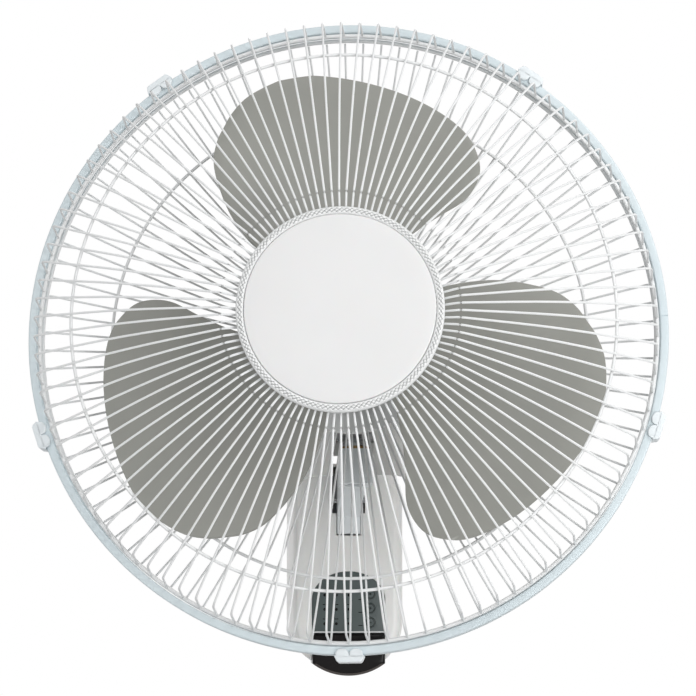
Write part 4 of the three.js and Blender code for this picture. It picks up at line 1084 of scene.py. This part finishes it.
# ---------------------------------------------------------------- motor head
@dataclass(frozen=True)
class MotorHousing:
    """The two halves of the motor cover with the chin over the swing gear, the guard nut and the screw."""

    radius: float = 60.0
    wall: float = 2.2
    front: float = -42.0
    shoulder: float = -33.0
    split: float = -30.0
    gap: float = 0.3
    cylinder_end: float = 36.0
    back: float = 70.0
    dome_power: float = 0.75
    sleeve_inner: float = 12.0
    sleeve_outer: float = 20.0
    sleeve_front: float = -56.0
    chamfer: float = 10.0
    chin_half: float = 38.0
    chin_back: float = 40.0
    chin_bottom: float = -90.0
    chin_heel: float = -66.0
    lip_y: float = -11.0
    heel_y: float = 6.0
    corner: float = 20.0
    notch: float = 15.0
    notch_top: float = -58.0
    notch_depth: float = 8.0
    vents: int = 8
    rear_vents: int = 10
    vent_width: float = 3.0
    vent_low: float = 30.0
    rear_vent_low: float = 26.0
    vent_high: float = 44.0
    vent_ease: float = 0.05
    vent_turn: float = 0.5
    chin_top: float = -36.0
    screw_hole: float = 2.0
    screw_play: float = 0.3

    def _vent(self, low: float) -> list[Point]:
        """A round-ended vent that starts at a radius."""
        half = self.vent_width / 2
        return rectangle(-half, half, low, self.vent_high, half - self.vent_ease)

    def _front_cover(self) -> Mesh:
        """The shallow front cover with its sleeve and leaning slots.

        Returns:
            The cover.
        """
        face = self.front + self.wall + self.gap
        inside = self.radius - self.wall
        corners = [
            (self.sleeve_inner, self.sleeve_front), (self.sleeve_outer, self.sleeve_front),
            (self.sleeve_outer, self.front), (self.radius - self.chamfer, self.front),
            (self.radius, self.shoulder), (self.radius, self.split),
            (inside, self.split), (inside, self.shoulder + 1),
            (self.radius - self.chamfer - 1, face), (self.sleeve_inner, face),
        ]
        cover = lathe(filleted(corners, (0.6, 0.8, 0.2, 5, 4, 0.5, 0.3, 2, 3, 0.3), 5), 120)
        slots = []
        for i in range(self.vents):
            outline = self._vent(self.vent_low)
            slot = prism(outline, face + 2, self.front - 2)
            turn = Matrix.Rotation(self.vent_turn + (i + 0.5) * TURN / self.vents, 4, "Y")
            slots.append(moved(slot, turn))
        return carved(cover, slots)

    def _dome(self, inset: float, steps: int = 18) -> list[Point]:
        """The rear cover's outline from the split to the back, drawn in by an inset.

        Args:
            inset: How far inside the outer face it lies.
            steps: Straight pieces in the dome.

        Returns:
            The outline as [radius, y] points.
        """
        radius, depth = self.radius - inset, self.back - self.cylinder_end - inset
        points = [(radius, self.cylinder_end)]
        for i in range(1, steps + 1):
            turn = i / steps * math.pi / 2
            reach = radius * max(0.0, math.cos(turn)) ** self.dome_power if i < steps else 0.0
            points.append((reach, self.cylinder_end + depth * math.sin(turn)))
        return points

    def _chin(self, inset: float, low: float, high: float) -> Mesh:
        """The box under the motor that covers the swing gear, drawn in by an inset.

        Args:
            inset: How far inside the outer face it lies.
            low: The Z of its lower end.
            high: The Z of its upper end.

        Returns:
            The box.
        """
        start = self.split + self.gap
        half = self.chin_half - inset
        outline = rectangle(-half, half, -self.chin_back + inset, -start - inset, self.corner - inset, 10)
        box = prism(outline, low, high)
        return moved(box, Matrix.Rotation(math.pi / 2, 4, "X"))

    def _rear_cover(self) -> Mesh:
        """The deep rear cover: a can with a domed back, its chin, slots and the notch for the neck.

        Returns:
            The cover.
        """
        start = self.split + self.gap
        outer = lathe([(0, start), (self.radius, start), *self._dome(0)], 120)
        inner = lathe([(0, start - 1), (self.radius - self.wall, start - 1), *self._dome(self.wall)], 120)
        body = carved(outer, [self._chin(0, self.chin_bottom, self.chin_top)], Cut.JOIN)
        heel = prism([
            (-self.lip_y, self.chin_bottom - 1), (-self.lip_y, self.chin_bottom),
            (-self.heel_y, self.chin_heel), (-self.chin_back - 1, self.chin_heel),
            (-self.chin_back - 1, self.chin_bottom - 1),
        ], -self.chin_half - 1, self.chin_half + 1)
        heel = moved(heel, Matrix.Rotation(-math.pi / 2, 4, "Z"))
        notch = block((-self.notch, start - 1, self.chin_bottom - 1),
                      (self.notch, start + self.notch_depth, self.notch_top))
        hole = prism(arc((0, 0), self.screw_hole, self.screw_hole, 0, 360, 24)[:-1], self.back + 1,
                     self.cylinder_end)
        slots = []
        for i in range(self.rear_vents):
            outline = self._vent(self.rear_vent_low)
            slots.append(moved(prism(outline, self.back + 2, self.cylinder_end),
                               Matrix.Rotation((i + 0.5) * TURN / self.rear_vents, 4, "Y")))
        hollow = self._chin(self.wall, self.chin_bottom - 1, self.chin_top)
        return carved(body, [inner, hollow, heel, notch, hole, *slots])

    def build(self) -> None:
        """Makes the covers, the guard nut and the cover screw."""
        SHOP.add("front_cover", self._front_cover(), PLACES.head, "head", WHITE_SHELL, "white_plastic",
                 ["motor_front_cover"])
        SHOP.add("rear_cover", self._rear_cover(), PLACES.head, "head", WHITE_SHELL, "white_plastic",
                 ["motor_rear_cover"])
        SHOP.add("guard_nut", GuardNut().solid(), PLACES.head, "head", WHITE_SHELL, "white_plastic",
                 ["grille_nut"])
        screw = CrossScrew(head=3.6, head_length=2.4, shank=1.7, length=25.2).solid()
        turn = Matrix.Rotation(math.pi, 4, "Z")
        seat = Matrix.Translation((0, self.back + self.screw_play, 0))
        SHOP.add("cover_screw", moved(screw, seat @ turn), PLACES.head, "head", PLATED_STEEL, "steel",
                 ["rear_cover_screw"])


@dataclass(frozen=True)
class GuardNut:
    """The ribbed nut that holds the rear guard on the motor's sleeve."""

    bore: float = 20.3
    outer: float = 38.0
    back: float = -45.8
    length: float = 10.0
    ribs: int = 8
    rib: float = 3.0
    rib_edge: float = 0.7
    rib_inset: float = 0.6
    taper: float = 8.0
    edge: float = 3.0

    def solid(self) -> Mesh:
        """The turned ring with its ribs.

        Returns:
            The nut.
        """
        front = self.back - self.length
        ring = lathe(filleted([
            (self.bore, front), (self.outer - self.taper, front), (self.outer, self.back - self.edge),
            (self.outer, self.back), (self.bore, self.back),
        ], (0.5, 1.5, 1.2, 0.6, 0.3), 4), 96)
        ribs = []
        for i in range(self.ribs):
            rib = block((-self.rib / 2, front, self.bore + 1),
                        (self.rib / 2, self.back - self.rib_inset, self.outer), self.rib_edge, 2)
            ribs.append(moved(rib, Matrix.Rotation(i * TURN / self.ribs, 4, "Y")))
        return carved(ring, ribs, Cut.JOIN)


@dataclass(frozen=True)
class CrossScrew:
    """A screw along Y with its pan head towards the viewer at y = 0 and its shank behind."""

    head: float
    head_length: float
    shank: float
    length: float
    recess: float = 0.55
    recess_share: float = 0.62
    floor_share: float = 0.45

    def solid(self) -> Mesh:
        """The screw with a cross recess in its head.

        Returns:
            The screw.
        """
        corners = [
            (0, -self.head_length), (self.head, -self.head_length), (self.head, 0), (self.shank, 0),
            (self.shank, self.length), (0, self.length),
        ]
        screw = lathe(filleted(corners, (0, 0.9, 0.15, 0.2, 0.4, 0), 4), 32)
        reach = self.head * self.recess_share
        top, floor = -self.head_length - 1, -self.head_length * self.floor_share
        cuts = [
            block((-reach, top, -self.recess), (reach, floor, self.recess)),
            block((-self.recess, top, -reach), (self.recess, floor, reach)),
        ]
        return carved(screw, cuts)


# ---------------------------------------------------------------- wall body
@dataclass(frozen=True)
class WallBody:
    """The body on the wall: two shells, the key panel, the receiver window, keys, plate, screws and gland."""

    half: float = 42.0
    top: float = 87.0
    bottom: float = -74.5
    round_start: float = -34.0
    top_corner: float = 26.0
    depth: float = 98.0
    split: float = 40.0
    wall: float = 2.3
    edge: float = 8.0
    rim: float = 0.5
    gap: float = 0.3
    panel_half: float = 27.8
    arch_top: float = 3.5
    arch_base: float = -17.5
    foot: float = -43.0
    panel_thickness: float = 2.5
    panel_proud: float = 1.0
    lens_corner: float = -66.0
    lens_apex: float = -75.3
    lens_proud: float = 4.0
    lens_depth: float = 22.0
    lens_wall: float = 2.2
    # Width of the band along the window's curved bottom edge that gets a painted reflection.
    lens_highlight_band: float = 1.9
    slot_half: float = 12.7
    tail_half: float = 9.3
    shoulder: float = 48.0
    slot_bottom: float = 31.0
    slot_depth: float = 34.0
    tail_depth: float = 14.0
    button_radius: float = 3.8
    button_x: float = 16.3
    button_top: float = -13.4
    button_pitch: float = 10.8
    button_proud: float = 1.2
    button_length: float = 6.8
    buttons: int = 3
    plate_half: float = 26.0
    plate_top: float = 66.0
    plate_bottom: float = -52.0
    plate_corner: float = 8.0
    plate_thickness: float = 3.0
    keyhole: float = 4.2
    keyhole_z: float = 48.0
    keyhole_rise: float = 9.0
    screw_x: float = 31.0
    screw_high: float = 56.0
    screw_low: float = -42.0
    screw_sink: float = 1.5
    post: float = 6.0
    bore: float = 2.0
    bore_end: float = -53.0
    head_hole: float = 3.9
    head_depth: float = 3.7
    screw_head: float = 2.4
    rear_edge: float = 2.0
    plate_edge: float = 0.5
    panel_edge: float = 0.45
    lens_edge: float = 2.6
    gland_y: float = -22.0
    gland_hole: float = 5.3

    @property
    def face(self) -> float:
        """The Y of the body's front face."""
        return -self.depth

    @property
    def button_heights(self) -> list[float]:
        """The Z of each key, from the top."""
        return [self.button_top - i * self.button_pitch for i in range(self.buttons)]

    @property
    def screw_places(self) -> list[Point]:
        """The [x, z] of each shell screw."""
        return [(x, z) for z in (self.screw_high, self.screw_low) for x in (-self.screw_x, self.screw_x)]

    def _outline(self, inset: float) -> list[Point]:
        """The body seen from the front, drawn in by an inset.

        Args:
            inset: How far inside the outer face it lies.

        Returns:
            The outline as [x, z] points.
        """
        half, corner = self.half - inset, self.top_corner - inset
        high, flat = self.top - self.top_corner, self.half - self.top_corner
        return [
            *arc((flat, high), corner, corner, 0, 90, 14), *arc((-flat, high), corner, corner, 90, 180, 14),
            *arc((0, self.round_start), half, self.round_start - self.bottom - inset, 180, 360, 48),
        ]

    def _panel_outline(self, margin: float, foot: float) -> list[Point]:
        """The key panel: straight foot and sides and an arched top.

        Args:
            margin: How far it is drawn out past the panel's edge.
            foot: The Z of its lower end.

        Returns:
            The outline as [x, z] points.
        """
        half = self.panel_half + margin
        arch = arc((0, self.arch_base), half, self.arch_top - self.arch_base + margin, 0, 180, 36)
        return [(-half, foot), (half, foot), *arch]

    def _lens_outline(self, margin: float, top: float) -> list[Point]:
        """The receiver window: straight top and sides and a curved bottom.

        Args:
            margin: How far it is drawn out past the window's edge.
            top: The Z of its upper end.

        Returns:
            The outline as [x, z] points.
        """
        half = self.panel_half + margin
        drop = self.lens_corner - self.lens_apex
        radius = (self.panel_half ** 2 + drop ** 2) / (2 * drop)
        centre = self.lens_apex + radius
        reach = radius + margin
        corner = math.degrees(math.asin(half / reach))
        return [(half, top), (-half, top), *arc((0, centre), reach, reach, -90 - corner, -90 + corner, 24)]

    def _round(self, radius: float, back: float, front: float, place: Point, steps: int = 32) -> Mesh:
        """A round bar along Y."""
        return prism(arc(place, radius, radius, 0, 360, steps)[:-1], back, front)

    def _front_shell(self) -> Mesh:
        """The front shell with its windows and the slot for the neck.

        Returns:
            The shell.
        """
        start = -self.split - self.gap
        outer = prism(self._outline(0), start, self.face, self.edge, 8)
        room = prism(self._outline(self.wall), start + 2, self.face + self.wall, self.edge - self.wall, 6)
        panel_back = self.face - self.panel_proud + self.panel_thickness
        windows = [
            prism(self._panel_outline(self.gap, self.lens_corner), panel_back + 4, self.face - 3),
            prism(self._lens_outline(self.gap, self.foot + self.gap),
                  self.face + self.lens_depth - self.lens_proud + self.gap, self.face - 9),
            prism(rectangle(-self.slot_half, self.slot_half, self.shoulder, self.top + 2),
                  self.face + self.slot_depth, self.face - 1),
            prism(rectangle(-self.tail_half, self.tail_half, self.slot_bottom, self.top),
                  self.face + self.tail_depth, self.face - 1),
        ]
        shell = carved(outer, [room])
        post_end = self.face + self.wall - 0.5
        posts = [self._round(self.post, start, post_end, place) for place in self.screw_places]
        keep = prism(self._outline(0), start, self.face, self.edge, 8)
        shell = carved(shell, posts, Cut.JOIN)
        shell = carved(shell, windows)
        bores = [self._round(self.bore, start + 1, self.bore_end, place, 20) for place in self.screw_places]
        return carved(carved(shell, bores), [keep], Cut.KEEP)

    def _rear_shell(self) -> Mesh:
        """The rear shell with its recess for the wall plate, screw bores and the gland's hole.

        Returns:
            The shell.
        """
        floor = -self.plate_thickness - self.gap - self.wall
        outer = prism(self._outline(0), -self.rim, -self.split)
        rim = [e for e in outer.edges if all(abs(v.co.y + self.rim) < 1e-6 for v in e.verts)]
        round_edges(outer, rim, self.rear_edge, 4)
        room = prism(self._outline(self.wall), floor, -self.split - 1)
        recess = prism(rectangle(-self.plate_half - self.gap, self.plate_half + self.gap,
                                 self.plate_bottom - self.gap, self.plate_top + self.gap,
                                 self.plate_corner), 1, floor + self.wall)
        posts = [self._round(self.post, floor + 0.5, -self.split, place) for place in self.screw_places]
        bores = [self._round(self.bore, 0, -self.split - 1, place, 20) for place in self.screw_places]
        head_end = -self.rim - self.head_depth
        heads = [self._round(self.head_hole, 1, head_end, place) for place in self.screw_places]
        gland = moved(self._round(self.gland_hole, 0, 13, (0, 0), 40), Matrix.Rotation(-math.pi / 2, 4, "X"))
        gland = moved(gland, Matrix.Translation((0, self.gland_y, self.bottom + 8)))
        shell = carved(outer, [room, recess, gland])
        shell = carved(shell, posts, Cut.JOIN)
        return carved(shell, [*bores, *heads])

    def _plate(self) -> Mesh:
        """The steel wall plate with its keyholes.

        Returns:
            The plate.
        """
        outline = rectangle(-self.plate_half, self.plate_half, self.plate_bottom, self.plate_top,
                            self.plate_corner, 8)
        plate = prism(outline, 0, -self.plate_thickness, self.plate_edge, 2, both=True)
        holes = []
        for x in (-self.plate_half / 2, self.plate_half / 2):
            slot = self.keyhole / 2
            high = self.keyhole_z + self.keyhole_rise
            holes.append(self._round(self.keyhole, 1, -self.plate_thickness - 1, (x, self.keyhole_z), 40))
            outline = rectangle(x - slot, x + slot, self.keyhole_z, high, slot - 0.05, 8)
            holes.append(prism(outline, 1, -self.plate_thickness - 1))
        return carved(plate, holes)

    def _panel(self) -> Mesh:
        """The key panel with its holes and softened border.

        Returns:
            The panel.
        """
        front = self.face - self.panel_proud
        outline = self._panel_outline(0, self.foot + self.gap / 2)
        sheet = prism(outline, front + self.panel_thickness, front, self.panel_edge, 3)
        holes = [self._round(self.button_radius + self.gap, front + 9, front - 1, (self.button_x, z), 40)
                 for z in self.button_heights]
        return carved(sheet, holes)

    def _lens(self) -> Mesh:
        """The hollow receiver window with its rounded face.

        Returns:
            The window.
        """
        front = self.face - self.lens_proud
        top = self.foot - self.gap / 2
        outer = prism(self._lens_outline(0, top), front + self.lens_depth, front, self.lens_edge, 6)
        room = prism(self._lens_outline(-self.lens_wall, top - self.lens_wall), front + self.lens_depth + 1,
                     front + self.lens_wall + 1)
        return carved(outer, [room])

    def _lens_parts(self) -> tuple[Mesh, Mesh]:
        """The window's dark face and the band along its curved bottom edge, which is painted lighter as a
        reflection.

        Returns:
            The face and the rim.
        """
        front = self.face - self.lens_proud
        back = front + self.lens_depth + 1
        face_region = prism(self._lens_outline(-self.lens_highlight_band, self.foot + 1), back, front - 1)
        sides = block((-self.half, front - 1, self.lens_corner), (self.half, back, self.foot + 1))
        keep = carved(face_region, [sides], Cut.JOIN)
        return carved(self._lens(), [keep.copy()], Cut.KEEP), carved(self._lens(), [keep])

    def _button(self) -> Mesh:
        """One round key with a shallow dish.

        Returns:
            The key.
        """
        front = self.face - self.panel_proud - self.button_proud
        corners = [(0, front + 0.25), (2.4, front + 0.05), (self.button_radius, front),
                   (self.button_radius, front + self.button_length), (0, front + self.button_length)]
        return lathe(filleted(corners, (0, 1.0, 0.5, 0.2, 0), 4), 48)

    def build(self) -> None:
        """Makes the shells and what is fitted to them."""
        SHOP.add("front_shell_body", self._front_shell(), PLACES.base, "base", WHITE_SHELL, "white_plastic",
                 ["front_shell"])
        SHOP.add("rear_shell_body", self._rear_shell(), PLACES.base, "base", WHITE_SHELL, "white_plastic",
                 ["rear_shell"])
        SHOP.add("keyed_wall_plate", self._plate(), PLACES.base, "base", PLATED_STEEL, "steel",
                 ["wall_plate"])
        SHOP.add("key_panel", self._panel(), PLACES.base, "base", SLATE, "panel_grey", ["control_panel"])
        window, rim = self._lens_parts()
        SHOP.add("receiver_window", window, PLACES.base, "base", BLACK_GLASS, "gloss_black",
                 ["receiver_lens"])
        # The rim band gets a painted reflection: a lighter copy of the window's black.
        SHOP.add("receiver_window_highlight_rim", rim, PLACES.base, "base", LENS_RIM_HIGHLIGHT, "gloss_black", ["receiver_lens"])
        for i, z in enumerate(self.button_heights):
            place = PLACES.base @ Matrix.Translation((self.button_x, 0, z))
            name = f"button_{i + 1}"
            SHOP.add(f"key_{i + 1}", self._button(), place, name, SLATE, "panel_grey", [name])
        for i, (x, z) in enumerate(self.screw_places):
            screw = CrossScrew(head=3.6, head_length=self.screw_head, shank=1.7, length=46.0).solid()
            screw = moved(screw, Matrix.Rotation(math.pi, 4, "Z"))
            seat = Matrix.Translation((x, -self.screw_sink - self.screw_head, z))
            SHOP.add(f"body_screw_{i + 1}", moved(screw, seat), PLACES.base, "base", PLATED_STEEL, "steel",
                     [f"shell_screw_{i + 1}"])
        self._gland()

    def _gland(self) -> None:
        """Makes the ribbed gland under the body."""
        low = self.bottom - 2.6 - self.gap
        corners = [(3.4, low), (7.5, low), (7.5, self.bottom - self.gap), (5, self.bottom - self.gap),
                   (5, self.bottom + 8), (3.4, self.bottom + 8)]
        gland = lathe(filleted(corners, (0.4, 0.9, 0.3, 0.2, 0.5, 0.4), 4), 48)
        gland = moved(gland, Matrix.Rotation(math.pi / 2, 4, "X"))
        SHOP.add("inlet_gland", moved(gland, Matrix.Translation((0, self.gland_y, 0))), PLACES.base, "base",
                 DARK_PLASTIC, "dark_plastic", ["cable_gland"])


@dataclass(frozen=True)
class PanelMarks:
    """The panel's legends: lamps, dashes, key rings and the pale foot line."""

    body: WallBody
    lamp_x: tuple[float, ...] = (-18.3, -9.5, 0.2)
    lamp_z: tuple[float, ...] = (-14.2, -25.0, -35.9)
    lamp: float = 1.15
    dash: float = 3.2
    dash_high: float = 0.62
    dash_rise: float = 3.3
    side_x: float = 9.0
    side_z: tuple[float, ...] = (-17.9, -27.7, -37.6)
    thickness: float = 0.06
    ring: float = 3.3
    ring_width: float = 0.42
    foot_line: float = 0.95

    def _dash(self, middle: float, low: float) -> Mesh:
        """One dash with round corners."""
        half = self.dash / 2
        return self._flat(rectangle(middle - half, middle + half, low, low + self.dash_high, 0.25, 3))

    def _flat(self, outline: Sequence[Point]) -> Mesh:
        """A thin printed shape on the panel."""
        front = self.body.face - self.body.panel_proud
        return prism(outline, front + 0.2, front - self.thickness)

    def build(self) -> None:
        """Makes the lamps, the dashes, the rings on the keys and the foot line."""
        front = self.body.face - self.body.panel_proud
        lamps, dashes = [], []
        for z in self.lamp_z:
            for x in self.lamp_x:
                dome = lathe(filleted([(0, front - 0.35), (self.lamp, front - 0.3), (self.lamp, front + 0.4),
                                       (0, front + 0.4)], (0, 0.35, 0, 0), 4), 24)
                lamps.append(moved(dome, Matrix.Translation((x, 0, z))))
                if z != self.lamp_z[0]:
                    dashes.append(self._dash(x, z + self.dash_rise))
        dashes += [self._dash(self.side_x, z) for z in self.side_z]
        SHOP.add("panel_lamps", merged(lamps), PLACES.base, "base", LEGEND_DARK, "gloss_black")
        SHOP.add("panel_dashes", merged(dashes), PLACES.base, "base", LEGEND_DARK, "gloss_black")
        foot = self.body.foot + self.body.gap
        half = self.body.panel_half - 0.6
        line = self._flat(rectangle(-half, half, foot, foot + self.foot_line, 0.3, 3))
        SHOP.add("panel_foot_line", line, PLACES.base, "base", LEGEND_PALE, "white_plastic")
        for i, z in enumerate(self.body.button_heights):
            top = front - self.body.button_proud + 0.1
            ring = lathe([(self.ring - self.ring_width, top + 0.3), (self.ring, top + 0.3),
                          (self.ring, top - 0.12), (self.ring - self.ring_width, top - 0.12)], 48)
            bars = [block((-1.1, top - 0.1, -0.25), (1.1, top + 0.5, 0.25)) for _ in range(1 + (i < 2))]
            turned_bars = [moved(bar, Matrix.Rotation(k * math.pi / 2, 4, "Y")) for k, bar in enumerate(bars)]
            mark = merged([ring, *turned_bars])
            place = PLACES.base @ Matrix.Translation((self.body.button_x, 0, z))
            SHOP.add(f"key_mark_{i + 1}", mark, place, f"button_{i + 1}", LEGEND_DARK, "gloss_black")


# ---------------------------------------------------------------- neck and inner parts
@dataclass(frozen=True)
class NeckJoint:
    """The tilting neck, its bracket and fasteners, with rounded edges."""

    rounding: float = 1.1

    def build(self) -> None:
        """Rounds the neck and the bracket and dresses the fasteners."""
        pieces = [
            # The neck's finish carries painted light against the shade it sits in.
            ("neck_arm", "neck", NECK_BLUE_PAINTED_LIGHT, "cool_plastic", self.rounding),
            ("tilt_bracket", "base", PLATED_STEEL, "steel", 0.35),
            ("tilt_bolt", "base", PLATED_STEEL, "steel", 0.3),
            ("tilt_nut", "base", PLATED_STEEL, "steel", 0.3),
            ("swivel_yoke", "head", CAST_METAL, "cast_metal", 0.5),
            ("swivel_bush", "neck", BRONZE, "bronze", 0.3),
            ("swivel_shaft", "head", PLATED_STEEL, "steel", 0.3),
            ("swivel_collar", "head", PLATED_STEEL, "steel", 0.3),
            ("swing_motor", "head", CAST_METAL, "cast_metal", 0.4),
        ]
        for node, body, finish, slot, width in pieces:
            SHOP.add(f"rounded_{node}", softened(node, width), PLACES.base, body, finish, slot, [node])


@dataclass(frozen=True)
class InnerParts:
    """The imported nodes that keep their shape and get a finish."""

    def build(self) -> None:
        """Dresses the boards, the motor's inside and the small hardware."""
        SHOP.dress(BOARD_GREEN, "control_board", "power_board")
        SHOP.dress(DARK_PLASTIC, "crank_disc", "capacitor")
        SHOP.dress(CAST_METAL, "front_bracket", "rear_bracket")
        SHOP.dress(BRONZE, "front_bearing", "rear_bearing")
        SHOP.dress(CORE_STEEL, "stator_core", "rotor_core")
        SHOP.dress(COPPER, "front_winding", "rear_winding")
        SHOP.dress(PLATED_STEEL, "motor_shaft", "drive_pin")


# ---------------------------------------------------------------- studio
@dataclass(frozen=True)
class Lamp:
    """A soft square lamp: its name, its place and side in metres, and its power in watts."""

    name: str
    place: tuple[float, float, float]
    size: float
    power: float


@dataclass(frozen=True)
class Studio:
    """Camera at the photograph's angle, soft lamps, pale floor and white surroundings."""

    frame_pixels: float = 696.0
    focal_pixels: float = 2431.0
    place: tuple[float, ...] = (-0.148968, -1.955611, 0.024249)
    target: tuple[float, ...] = (-0.012966, -0.254122, 0.162183)
    sensor: float = 36.0
    ambient: float = 0.36
    floor_z: float = -0.45
    floor_radius: float = 1.5
    floor_colour: tuple[float, ...] = (0.72, 0.72, 0.72, 1)
    floor_lift: float = 0.3
    lamps: tuple[Lamp, ...] = (
        Lamp("key_lamp", (0.9, -1.6, 1.3), 1.0, 15.5),
        Lamp("low_lamp", (0.75, -1.7, -0.1), 0.7, 9.0),
        Lamp("fill_lamp", (-1.3, -1.5, 0.5), 1.3, 7.0),
        Lamp("rim_lamp", (0.5, 1.3, 1.4), 1.2, 5.0),
    )

    def build(self) -> None:
        """Makes the camera, the lamps, the floor and the world."""
        self._camera()
        for lamp in self.lamps:
            self._hang(lamp)
        self._floor()
        self._world()
        bpy.context.scene.view_settings.view_transform = "Standard"

    def _camera(self) -> None:
        """Puts the camera where the photograph was taken from."""
        target = Vector(self.target)
        back = (Vector(self.place) - target).normalized()
        right = Vector((0, 0, 1)).cross(back).normalized()
        up = back.cross(right)
        data = bpy.data.cameras.new("view")
        data.sensor_width = self.sensor
        data.lens = self.focal_pixels / self.frame_pixels * self.sensor
        data.clip_start = 0.02
        camera = bpy.data.objects.new("view", data)
        turn = Matrix((right, up, back)).transposed().to_4x4()
        camera.matrix_world = Matrix.Translation(self.place) @ turn
        bpy.context.scene.collection.objects.link(camera)
        bpy.context.scene.camera = camera

    def _hang(self, lamp: Lamp) -> None:
        """Hangs a lamp so that it looks at the fan.

        Args:
            lamp: The lamp.
        """
        data = bpy.data.lights.new(lamp.name, "AREA")
        data.size = lamp.size
        data.energy = lamp.power
        hung = bpy.data.objects.new(lamp.name, data)
        aim = PLACES.head @ Vector((0, -PLACES.plane, 0)) - Vector(lamp.place)
        turn = aim.to_track_quat("-Z", "Y").to_matrix().to_4x4()
        hung.matrix_world = Matrix.Translation(lamp.place) @ turn
        bpy.context.scene.collection.objects.link(hung)

    def _floor(self) -> None:
        """A pale floor well below the fan, a little lifted towards white for the camera."""
        disc = bmesh.new()
        bmesh.ops.create_circle(disc, cap_ends=True, segments=96, radius=self.floor_radius)
        bmesh.ops.translate(disc, vec=(0, 0, self.floor_z), verts=disc.verts)
        mesh = bpy.data.meshes.new("floor")
        disc.to_mesh(mesh)
        disc.free()
        paint = bpy.data.materials.new("floor_paint")
        paint.use_nodes = True
        tree = paint.node_tree
        shader = tree.nodes["Principled BSDF"]
        shader.inputs["Base Color"].default_value = self.floor_colour
        shader.inputs["Roughness"].default_value = 0.9
        lift = tree.nodes.new("ShaderNodeMath")
        lift.operation = "MULTIPLY"
        lift.inputs[1].default_value = self.floor_lift
        tree.links.new(tree.nodes.new("ShaderNodeLightPath").outputs["Is Camera Ray"], lift.inputs[0])
        shader.inputs["Emission Color"].default_value = (1, 1, 1, 1)
        tree.links.new(lift.outputs["Value"], shader.inputs["Emission Strength"])
        mesh.materials.append(paint)
        floor = bpy.data.objects.new("floor", mesh)
        bpy.context.scene.collection.objects.link(floor)

    def _world(self) -> None:
        """White surroundings for the camera, reflections and glass, and a plain soft light for the rest."""
        world = bpy.data.worlds.new("surroundings")
        bpy.context.scene.world = world
        world.use_nodes = True
        tree = world.node_tree
        back = tree.nodes["Background"]
        back.inputs["Color"].default_value = (1, 1, 1, 1)
        path = tree.nodes.new("ShaderNodeLightPath")
        seen = path.outputs["Is Camera Ray"]
        for output in ("Is Glossy Ray", "Is Transmission Ray"):
            largest = tree.nodes.new("ShaderNodeMath")
            largest.operation = "MAXIMUM"
            tree.links.new(seen, largest.inputs[0])
            tree.links.new(path.outputs[output], largest.inputs[1])
            seen = largest.outputs["Value"]
        strength = tree.nodes.new("ShaderNodeMapRange")
        strength.inputs["To Min"].default_value = self.ambient
        tree.links.new(seen, strength.inputs["Value"])
        tree.links.new(strength.outputs["Result"], back.inputs["Strength"])


def main() -> None:
    """Builds every sub-assembly in order and the studio round them."""
    logging.basicConfig(level=logging.INFO, format="%(message)s")
    body = WallBody()
    body.build()
    PanelMarks(body).build()
    NeckJoint().build()
    MotorHousing().build()
    Impeller().build()
    WireGuard().build()
    ClampRing().build()
    Latches().build()
    CentreCap().build()
    InnerParts().build()
    Studio().build()


if __name__ == "__main__":
    main()
